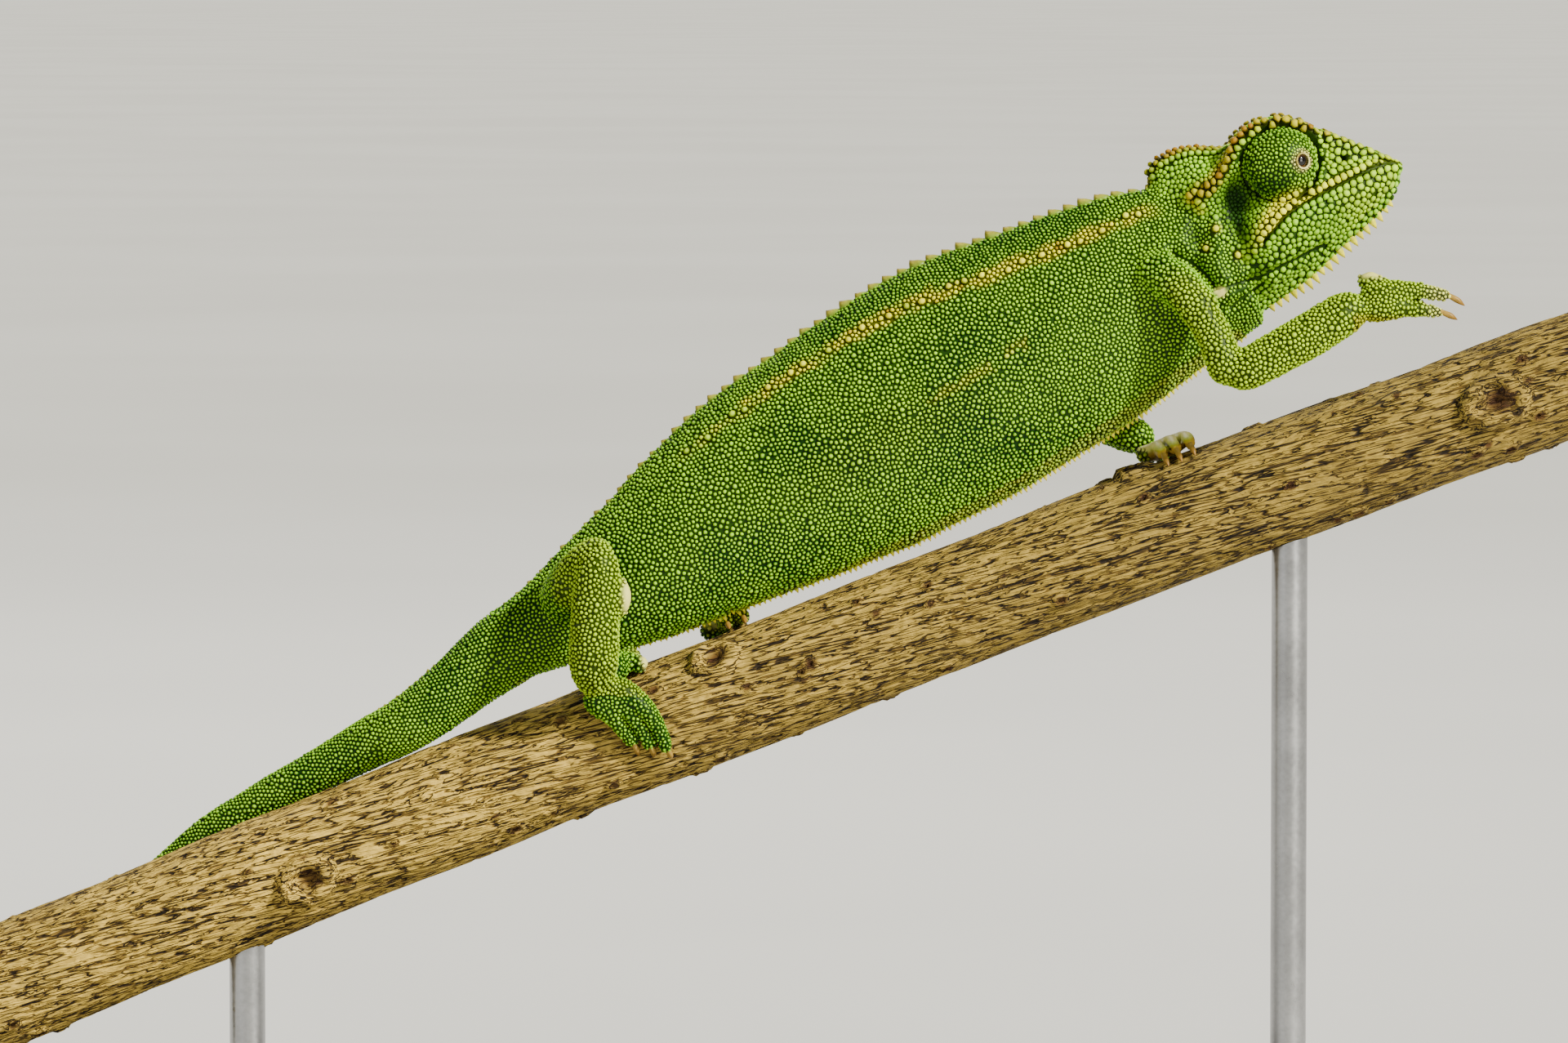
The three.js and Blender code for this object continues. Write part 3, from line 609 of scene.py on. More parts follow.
RIGHT_HIND = Leg(
    "right_hind",
    Region.HINDLEGS,
    free((-27, -1.5, 8.6, 3.7), (-25.4, -6.8, 11.6, 3.5), (-23.4, -10.2, 14.6, 2.7), (-21.9, -12.3, 16.2, 2)),
    free((-22, -12.4, 16.2, 2), (-22.5, -12.2, 13, 2.8), (-22.9, -11.4, 7.4, 3.2), (-23.3, -9.2, -1.6, 3.3)),
    (
        grip((-20.6, -47, 3.4, 2.4), (-17, -76, 1.7, 1.35), (-16.4, -108, 1.1, 0.9), (-16.3, -123, 0.45, 0)),
        grip(
            (-21.4, -47, 3.4, 2.5), (-18.9, -74, 1.6, 1.3), (-18.2, -100, 1.1, 0.85), (-18.1, -115, 0.45, 0)
        ),
        grip((-22.4, -47, 3.3, 2.6), (-20.9, -71, 1.6, 1.25), (-20, -93, 1.05, 0.8), (-19.9, -108, 0.45, 0)),
    ),
    (
        grip((-20.2, -40, 3.2, 1.9), (-17.2, -12, 1.7, 1.25), (-16.4, 16, 1.15, 0.85), (-16.2, 36, 0.45, 0)),
        grip((-20.6, -40, 3.2, 1.9), (-18.8, -10, 1.6, 1.2), (-18.1, 18, 1.15, 0.85), (-17.9, 38, 0.45, 0)),
    ),
    (
        Swelling(tuple(PERCH.on(-16, -24, 1.3)), (1.3, 1.4, 1.1), (1, 0, 0.2)),
        Swelling((-19.7, -11.6, 10.3), (1.3, 1.5, 2.3), (1, -0.2, 0)),
    ),
)
LEFT_HIND = Leg(
    "left_hind",
    Region.HINDLEGS,
    free((-25.5, 1.5, 8.8, 3.6), (-21.6, 7.4, 11.6, 3.3), (-17, 11.4, 13.6, 2.7), (-12.9, 13.6, 14.5, 2.3)),
    free((-12.5, 13.6, 14.6, 2.2), (-10.4, 11.6, 10.8, 2.8), (-7.2, 8.8, 6, 2.6)),
    (
        grip((-4.4, 50, 3.1, 2.1), (-2.4, 76, 1.6, 1.3), (-1.8, 106, 1.1, 0.9), (-1.6, 126, 0.45, 0)),
        grip((-4.8, 50, 3.1, 2.1), (-4.2, 76, 1.6, 1.3), (-3.7, 104, 1.1, 0.85), (-3.6, 124, 0.45, 0)),
        grip((-5.2, 50, 3, 2.1), (-6, 74, 1.6, 1.2), (-5.6, 98, 1.05, 0.8), (-5.5, 117, 0.45, 0)),
    ),
    (
        grip((-4, 38, 2.6, 1.8), (-2.6, 20, 1.5, 1.15), (-2.2, 3, 1, 0.85), (-2.1, -11, 0.45, 0)),
        grip((-4.6, 38, 2.6, 1.8), (-4.6, 20, 1.5, 1.15), (-4.3, 4, 1, 0.85), (-4.2, -10, 0.45, 0)),
    ),
    (Swelling(tuple(PERCH.on(-6.6, 26, 1.5)), (1.3, 1.3, 1.2)),),
)
LEGS = (RIGHT_FORE, LEFT_FORE, RIGHT_HIND, LEFT_HIND)


def swelling_surface(pad: Swelling, inset: float) -> Surface:
    """The surface of a pad, from its underside to its top."""

    def surface(t: Array, angle: Array) -> Array:
        """Places on the pad."""
        polar = np.pi * (1 - np.asarray(t, float))
        ring = np.sin(polar)
        shape = np.stack([ring * np.cos(angle), ring * np.sin(angle), np.cos(polar)], axis=-1)
        return np.array(pad.at) + shape * (np.array(pad.half) - inset)

    return surface


# half a scale's width, in millimetres, against the share along each form
TRUNK_GRAIN = Profile((0, 0.25), (0.3, 0.28), (0.75, 0.275), (1, 0.24))
TAIL_GRAIN = Profile((0, 0.27), (0.4, 0.26), (0.8, 0.21), (1, 0.15))
SKULL_GRAIN = Profile((0, 0.28), (0.3, 0.31), (0.6, 0.38), (1, 0.4))
JAW_GRAIN = Profile((0, 0.31), (0.4, 0.37), (1, 0.4))
LID_GRAIN, LEG_GRAIN, PAD_GRAIN = 0.25, 0.27, 0.26
TOE_GRAIN = Profile((0, 0.235), (1, 0.2))


def even(size: float) -> Callable[[Array], Array]:
    """The same half scale width all along."""
    return lambda t: np.full(np.shape(t), size)


def body() -> list[Flesh]:
    """All the closed forms that the body is made of."""
    rows = np.array(TRUNK_STATIONS)
    flat = lambda xz: np.column_stack([xz[:, 0], np.zeros(len(xz)), xz[:, 1]])
    trunk = swept(Track(flat(rows)), Track(rows[:, 2:]), fixed_up(0, 0, 1), cap=0.0, keel=True)
    root = np.array(TAIL_ROOT)
    on_bark = PERCH.on(TAIL_PLACES, TAIL_TURN(TAIL_PLACES), TAIL_RADIUS(TAIL_PLACES) + 0.7 * SOLID_GAP)
    tail_line = np.vstack([flat(root), on_bark])
    radii = TAIL_RADIUS(TAIL_PLACES)
    tail_halves = np.vstack([root[:, 2:], np.column_stack([radii, radii])])
    from_perch = lambda t, middle: middle - PERCH.middle(middle @ PERCH.along)
    tail = swept(Track(tail_line), Track(tail_halves), from_perch, inset=0.2, cap=0.03)
    parts = [
        Flesh("trunk", Region.TRUNK, trunk, TRUNK_GRAIN, 90, 90),
        Flesh("tail", Region.TAIL, tail, TAIL_GRAIN, 260, 36),
        Flesh("skull", Region.HEAD, head_surface(HEAD.skull_ends, skull_half), SKULL_GRAIN, 70, 80),
        Flesh("jaw", Region.HEAD, head_surface(HEAD.jaw_ends, jaw_half), JAW_GRAIN, 50, 60),
    ]
    for name, side in (("left", 1), ("right", -1)):
        parts.append(Flesh(f"lid_{name}", Region.LIDS, lid_surface(side), even(LID_GRAIN), 32, 40))
    for leg in LEGS:
        for name, line in (("upper", leg.upper), ("lower", leg.lower)):
            halves = np.column_stack([line[:, 3] * 0.94, line[:, 3]])
            surface = swept(Track(line[:, :3]), Track(halves), fixed_up(0.3, 1, 0.2), inset=0.22, cap=0.16)
            parts.append(Flesh(f"{name}_{leg.name}", leg.region, surface, even(LEG_GRAIN), 30, 28))
        for bundle, toes in (("outer", leg.outer), ("inner", leg.inner)):
            for i, toe in enumerate(toes):
                onward = unit(toe[-2, :3] - toe[-3, :3])
                line = np.vstack([toe[:-1], [*(toe[-2, :3] + onward * 0.5), toe[-2, 3] * 0.8]])
                halves = np.column_stack([line[:, 3], line[:, 3]])
                middles = Track(line[:, :3])
                surface = swept(middles, Track(halves), fixed_up(0.2, 0.3, 1), inset=0.16, cap=0.16)
                parts.append(Flesh(f"{bundle}_{i + 1}_{leg.name}", leg.region, surface, TOE_GRAIN, 24, 18))
        for i, pad in enumerate(leg.pads):
            surface = swelling_surface(pad, 0.16)
            parts.append(Flesh(f"pad_{i + 1}_{leg.name}", leg.region, surface, even(PAD_GRAIN), 16, 16))
    return parts


# ------------------------------------------------------------------ making meshes


def perch_height() -> float:
    """How high the middle of the branch is, in metres: the stand's base carries it."""
    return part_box("stand_base")[1].z + BASE_TO_PERCH * MM


def in_frame(places: Array) -> Array:
    """Millimetres around the branch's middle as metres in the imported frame."""
    return np.asarray(places, float) * MM + np.array([0.0, 0.0, perch_height()])


def from_frame(places: Array) -> Array:
    """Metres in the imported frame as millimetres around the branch's middle."""
    return (np.asarray(places, float) - np.array([0.0, 0.0, perch_height()])) / MM


def only(piece: bpy.types.Object) -> None:
    """Makes a piece the only one that an operator acts on."""
    bpy.ops.object.select_all(action="DESELECT")
    piece.select_set(True)
    bpy.context.view_layer.objects.active = piece


@contextmanager
def editing(piece: bpy.types.Object, action: str = "SELECT") -> Iterator[None]:
    """Keeps a piece in edit mode, with all or none of its mesh selected at first."""
    only(piece)
    bpy.ops.object.mode_set(mode="EDIT")
    bpy.ops.mesh.select_all(action=action)
    yield
    bpy.ops.object.mode_set(mode="OBJECT")


def face_outwards(piece: bpy.types.Object, merging: float = 0.0) -> None:
    """Turns a closed piece's faces outwards, after joining points nearer than `merging` metres."""
    with editing(piece):
        if merging:
            bpy.ops.mesh.remove_doubles(threshold=merging)
        bpy.ops.mesh.normals_make_consistent(inside=False)


def primitive(kind: str, name: str, **sizes: float) -> bpy.types.Object:
    """One of the standard forms as a new piece."""
    bpy.ops.object.select_all(action="DESELECT")
    getattr(bpy.ops.mesh, f"primitive_{kind}_add")(**sizes)
    bpy.context.object.name = name
    return bpy.context.object


def soften(piece: bpy.types.Object) -> None:
    """Shades a piece smooth, up to its sharp edges."""
    piece.data.shade_smooth()
    only(piece)
    bpy.ops.object.shade_smooth_by_angle(angle=SHARP)


def tree_of(places: Array) -> KDTree:
    """A search tree of places."""
    tree = KDTree(len(places))
    for i, place in enumerate(places):
        tree.insert(place, i)
    tree.balance()
    return tree


def mesh_piece(name: str, places: Array, loops: Array, sizes: Array) -> bpy.types.Object:
    """A new object from polygons.

    Args:
        name: the piece's name.
        places: (n, 3) places in millimetres.
        loops: the corners of all polygons, one polygon after another.
        sizes: how many corners each polygon has.

    Returns:
        The object, smooth all over.
    """
    mesh = bpy.data.meshes.new(name)
    mesh.vertices.add(len(places))
    mesh.vertices.foreach_set("co", in_frame(places).astype(np.float32).ravel())
    mesh.loops.add(len(loops))
    mesh.loops.foreach_set("vertex_index", np.asarray(loops, np.int32))
    mesh.polygons.add(len(sizes))
    starts = np.concatenate([[0], np.cumsum(sizes)[:-1]])
    mesh.polygons.foreach_set("loop_start", starts.astype(np.int32))
    mesh.update(calc_edges=True)
    mesh.shade_smooth()
    piece = bpy.data.objects.new(name, mesh)
    bpy.context.scene.collection.objects.link(piece)
    return piece


def from_faces(name: str, places: Array, faces: Sequence[Sequence[int]]) -> bpy.types.Object:
    """A new object from a list of faces."""
    sizes = np.array([len(face) for face in faces])
    return mesh_piece(name, places, np.concatenate([np.array(face) for face in faces]), sizes)


def apply_modifier(piece: bpy.types.Object, kind: str, **settings: object) -> None:
    """Adds a modifier with its settings to a piece and applies it."""
    modifier = piece.modifiers.new(kind.lower(), kind)
    for key, value in settings.items():
        setattr(modifier, key, value)
    only(piece)
    bpy.ops.object.modifier_apply(modifier=modifier.name)


def vectors(rows: bpy.types.bpy_prop_collection, name: str) -> Array:
    """One vector of each point or face of a mesh."""
    flat = np.empty(len(rows) * 3, np.float32)
    rows.foreach_get(name, flat)
    return flat.reshape(-1, 3).astype(float)


def places_of(piece: bpy.types.Object) -> Array:
    """A piece's places in millimetres."""
    return from_frame(vectors(piece.data.vertices, "co"))


def move_to(piece: bpy.types.Object, places: Array) -> None:
    """Gives a piece's mesh new places, in millimetres."""
    piece.data.vertices.foreach_set("co", in_frame(places).astype(np.float32).ravel())
    piece.data.update()


def normals_of(piece: bpy.types.Object) -> Array:
    """The way each point of a piece's mesh faces."""
    return vectors(piece.data.vertices, "normal")


def write_marks(piece: bpy.types.Object, marks: dict[str, Array]) -> None:
    """Keeps one number per point and mark, for the materials to read."""
    for name, values in marks.items():
        layer = piece.data.attributes.new(name, "FLOAT", "POINT")
        layer.data.foreach_set("value", np.asarray(values, np.float32))


def settle(piece: bpy.types.Object, finish: bpy.types.Material) -> bpy.types.Object:
    """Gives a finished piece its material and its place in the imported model."""
    piece.data.materials.clear()
    piece.data.materials.append(finish)
    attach(piece, "root")
    LOG.info("%s: %d faces", piece.name, len(piece.data.polygons))
    return piece


# ------------------------------------------------------------------ markings


def line_gap(points: Array, *knots: tuple[float, float]) -> Array:
    """How far points are, seen from the side, from a smooth line through (x, z) knots."""
    line = Track([(x, 0.0, z) for x, z in knots])
    flat = points * np.array([1.0, 0.0, 1.0])
    return line.distance(flat, 60)[0]


FLANK_STRIPE = Profile(
    (-14, 26), (-11.4, 27.9), (-3, 34.2), (5.9, 40.2), (11.3, 43.4), (16.2, 45.9), (25.2, 49.1), (35, 53),
    (44, 56.8),
)
SHOULDER_FOLD = ((47.5, 51.9), (50.8, 49.9), (52.6, 47.7))
THROAT_FOLDS = (((53.9, 47.7), (57.5, 48.8), (65.9, 52.8)), ((54.4, 45.1), (56.4, 46.8), (58.6, 48.2)))
SHOULDER_SPOT = (53.2, 47.1)
NOSTRIL = (7.36, -2.32)  # forward of the eye and up from it
GRIP_ALONG, GRIP_ROUND = (51.2, 59), (-50, 30)  # the left forefoot's toes, in mm and degrees
NECK_X = 44.0  # what the head's own folds and colours stay in front of


class Mark(Enum):
    """The numbers that the skin and the scales carry for their colours."""

    LIME = "lime"
    YELLOW = "yellow"
    AMBER = "amber"
    PALE = "pale"
    # a darker green: mostly painted shade, with a random mottle on the turrets
    DEEP = "deep"


@dataclass(frozen=True)
class Markings:
    """Where the animal is yellow, orange-brown or cream, and where a deeper green is painted, mostly as
    painted shade.
    """

    def read(self, points: Array) -> dict[str, Array]:
        """The marks at points of the body.

        Args:
            points: (n, 3) places in millimetres.

        Returns:
            One array of numbers from 0 to 1 for each mark.
        """
        x, y, z = points.T
        forward, out, up = HEAD.measures(points)
        side = np.abs(out)
        on_head = smoothstep(-17, -15, forward) * smoothstep(-20, -17, up) * (x > NECK_X)
        ragged = noise(points / 1.6, 3)
        stripe = np.minimum(1.3 * bump((z - FLANK_STRIPE(x)) * 0.84 + ragged * 0.4, 1.15), 1.0)
        broken = 0.3 + 0.7 * smoothstep(-0.3, 0.2, noise(points / 1.7, 9) + (x - 4) / 80)
        specks = smoothstep(0.62, 0.75, noise(points / 0.9, 31)) * (stripe > 0.4)
        stripe *= broken * smoothstep(-15, -4, x) * (1 - smoothstep(42, 47, x)) * (side > 1.5)
        # The near limbs and side: a yellower tint of their own, and a lighter green that is painted light
        # (below).
        limb = smoothstep(-7.4, -9.6, y) * (z > -2) * (x > -30)
        low_row = bump(line_gap(points, (18, 34.2), (24.1, 37.6), (31, 42.1)) + ragged * 0.3, 1.3)
        crest = np.minimum(1.4 * bump(np.hypot(side - CREST_OUT(forward), up - CREST_UP(forward)), 1.15), 1.0)
        crest *= smoothstep(-13, -11, forward) * (up > -5.5)
        rear = smoothstep(-2, -5, forward)
        rear_crest = rear * bump(up - CREST_UP(forward), 1.5) * (side > 2.5) * on_head * (forward > -12)
        crest = np.maximum(crest, rear_crest)
        ridge = bump(np.hypot(side, up - CROWN(forward)), 2.3) * (1 - smoothstep(-6.5, -5, forward))
        ridge = ridge * (forward > -16)
        off_lips = up - LIPS(forward)
        rear_lip = pool(forward, off_lips, (-2.5, 0.95), (3.2, 1.15)) * (off_lips > -0.1)
        rear_lip = np.minimum(2.1 * rear_lip, 1.0) * on_head
        lip_edge = bump(off_lips - 0.45, 1.1) * smoothstep(-6, -2, forward)
        lip_edge *= 1 - 0.45 * smoothstep(4, 9, forward)
        dots = lambda wide, *spots: most(*(bump(np.hypot(forward - f, up - u), wide) for f, u in spots))
        tubercles = dots(1.0, (-11.05, -1.5), (-10.3, -4.4), (-9.0, -8.4), (-12.3, -6.1))
        browns = dots(1.1, (-9.7, 0.9), (-11.3, 0.1), (-8.9, 0.6))
        yellow = most(
            stripe,
            0.45 * low_row * (ragged > -0.1),
            crest * (0.66 - 0.36 * smoothstep(3, 8, forward)),
            rear_lip,
            0.84 * lip_edge * on_head,
            0.16 * smoothstep(3, 7, forward) * on_head * (side > 1),
            0.9 * tubercles,
            0.24 * limb,
        )
        warm = smoothstep(-0.2, 0.7, noise(points / 1.1, 5) + 0.15)
        amber = most(
            crest * (1 - 0.8 * smoothstep(3.0, 11.0, forward)) * (0.58 + 0.5 * warm),
            0.34 * smoothstep(0.965, 1.02, self.under(points)) * (0.6 + 0.6 * warm),
            0.5 * smoothstep(44.9, 43.9, z + 0.06 * (x - 74)) * (x > 69) * (z < 50) * (up < -12),
            1.1 * ridge * (0.62 + 0.45 * warm),
            0.8 * browns,
            np.maximum(0.16 * warm, 0.85 * specks) * stripe,
            (1 - smoothstep(1.5, 2.3, PERCH.height(points))) * self.gripping_toes(points) * 0.95,
        )
        belly = smoothstep(0.97, 1.04, self.under(points))
        lids = np.minimum(*(np.linalg.norm(points - gaze.opening, axis=1) for gaze in GAZES))
        lids = (1 - smoothstep(1.3, 1.85, lids)) * (0.66 + 0.5 * noise(points / 0.6, 8))
        toes = smoothstep(1.7, 2.3, PERCH.height(points)) * self.gripping_toes(points, 0.1)
        tips = 0.55 * smoothstep(76.5, 79.5, x) * (z < 52)
        pale = most(0.08 * belly, self.spot(points), self.pads(points), toes, lids, tips)
        back = smoothstep(0.5, 2.5, z - FLANK_STRIPE(x)) * (x < 46)
        lime = 0.55 + 0.42 * noise(points / 7.0, 1) + 0.22 * noise(points / 2.3, 2)
        lime += 0.25 * on_head - 0.35 * bump(np.hypot(forward, up) - 4.4, 1.6) * on_head
        snout = smoothstep(2, 6, forward) * on_head
        # Painted light and shade: a lighter green towards the fore flank and on the near limbs, where the
        # light falls fullest, and a darker green on the back. The snout is a lighter green.
        lime += 0.26 * smoothstep(24, 40, x) + 0.35 * limb + 0.25 * snout - 0.2 * back
        # Painted shade, as the deep mark: the hollows behind and below each turret and behind the row of
        # tubercles, the nostrils, under the cheek, a little under the lips, on the back, and on the lower
        # rear of each turret. A random mottle is added to it on the turrets.
        shade = lambda f, u, wide, tall: pool(forward, up, (f, u), (wide, tall)) * on_head
        deep = 1.1 * shade(-6.5, -1.8, 2.4, 2.8) + 0.8 * shade(-7.6, -5.2, 1.3, 2.6)
        deep += 0.6 * shade(-12.9, -4.6, 1.0, 3.0)
        deep += 1.0 * shade(*NOSTRIL, 0.6, 0.4) + 0.45 * shade(-7.4, -11.0, 2.2, 0.9) + 0.14 * back
        deep += 0.13 * on_head * smoothstep(0.5, -2.0, off_lips) * (1 - smoothstep(3, 8, forward))
        deep += 0.8 * shade(-1.6, -1.9, 1.9, 1.5) * (side > 5.0) * (0.75 + 0.4 * noise(points / 0.7, 17))
        turret = (np.hypot(forward, up) < 4.3) & (side > 2.5)
        deep += turret * on_head * np.clip(0.12 + 0.4 * noise(points / 0.55, 19), 0, 0.5) * (1 - lids)
        lime -= 0.35 * turret * on_head
        return {m.value: np.clip(v, 0, 1) for m, v in zip(Mark, (lime, yellow, amber, pale, deep))}

    def under(self, points: Array) -> Array:
        """How close points of the trunk are to the belly's line, from 0 to 1."""
        rows = np.array(TRUNK_STATIONS)
        middle = np.interp(points[:, 0], rows[:, 0], rows[:, 1])
        deep = np.interp(points[:, 0], rows[:, 0], rows[:, 3])
        inside = (points[:, 0] > -33) & (points[:, 0] < 56) & (np.abs(points[:, 1]) < 3)
        return np.clip((middle - points[:, 2]) / deep, 0, 1.2) * inside

    def pads(self, points: Array) -> Array:
        """Cream on the smooth pads of the heels, the wrist and the shin."""
        cream = np.zeros(len(points))
        for leg in LEGS:
            for pad in leg.pads:
                away = (points - np.array(pad.at)) / (np.array(pad.half) + 0.5)
                outer = smoothstep(-0.15, 0.5, away @ unit(np.array(pad.out, float)))
                inside = 1 - smoothstep(0.8, 1.15, np.linalg.norm(away, axis=1))
                cream = np.maximum(cream, 0.85 * inside * outer)
        return cream

    def bald(self, points: Array) -> Array:
        """Where the skin is smooth, from 0 to 1: the pads, the gripping toes and the shoulder's spot."""
        return most(self.pads(points), self.gripping_toes(points, 0.1), self.spot(points))

    def spot(self, points: Array) -> Array:
        """The cream spot at the lower end of the shoulder's fold."""
        away = np.hypot(points[:, 0] - SHOULDER_SPOT[0], points[:, 2] - SHOULDER_SPOT[1])
        return (1 - smoothstep(0.5, 1.0, away)) * (np.abs(points[:, 1]) > 1)

    def gripping_toes(self, points: Array, low: float = -0.5, high: float = 4.6) -> Array:
        """Where the left forefoot's toes stand between two heights over the top of the branch."""
        s = points @ PERCH.along
        turn = np.degrees(np.arctan2(points[:, 1], points @ PERCH.up))
        height = PERCH.height(points)
        (start, end), (near, far) = GRIP_ALONG, GRIP_ROUND
        inside = (s > start) & (s < end) & (turn > near) & (turn < far)
        return inside & (height < high) & (height > low)


MARKINGS = Markings()


# ------------------------------------------------------------------ the skin


FLESH_NODES = ("head", "casque", "lower_jaw", "eyelid_right", "eyelid_left", "neck")
FLESH_NODES += ("trunk_front", "trunk_rear")


def flesh_nodes() -> list[str]:
    """The names of the solids that the one skin stands for."""
    names = [*FLESH_NODES, *(f"tail_{i}" for i in range(1, 6))]
    for leg in LEGS:
        fore = leg.name.endswith("fore")
        words = ("upper_arm", "forearm", "forefoot") if fore else ("thigh", "shank", "hindfoot")
        names += [f"{words[0]}_{leg.name}", f"{words[1]}_{leg.name}"]
        names += [f"{words[2]}_{leg.name}_outer", f"{words[2]}_{leg.name}_inner"]
    return names


@dataclass(frozen=True)
class Gaze:
    """Where one eye looks out of its lid, and along which line."""

    side: int

    @property
    def proud(self) -> float:
        """How far the opening stands out from the middle of the lid."""
        (forward, up), (long, thick, tall) = HEAD.gaze, HEAD.lid_half
        return thick * math.sqrt(1 - (forward / long) ** 2 - (up / tall) ** 2)

    @property
    def opening(self) -> Array:
        """The middle of the lid's opening."""
        forward, up = HEAD.gaze
        return HEAD.place(forward, self.side * (HEAD.lid_out + self.proud), up)

    @property
    def line(self) -> Array:
        """The direction that the eye looks in."""
        (forward, up), (long, thick, tall) = HEAD.gaze, HEAD.lid_half
        ahead = HEAD.place(forward / long**2, self.side * self.proud / thick**2, up / tall**2)
        return unit(ahead - HEAD.place(0, 0, 0))

    @property
    def across(self) -> tuple[Array, Array]:
        """Two directions in the plane of the opening: along its width and along its height."""
        up = np.array([-math.sin(HEAD.tilt), 0.0, math.cos(HEAD.tilt)])
        tall = unit(up - self.line * (up @ self.line))
        return np.cross(tall, self.line), tall

    def off(self, places: Array) -> tuple[Array, Array]:
        """How far places are from the line of sight, and how far along it from the opening."""
        away = places - self.opening
        along = away @ self.line
        return np.linalg.norm(away - along[:, None] * self.line, axis=1), along


GAZES = (Gaze(1), Gaze(-1))


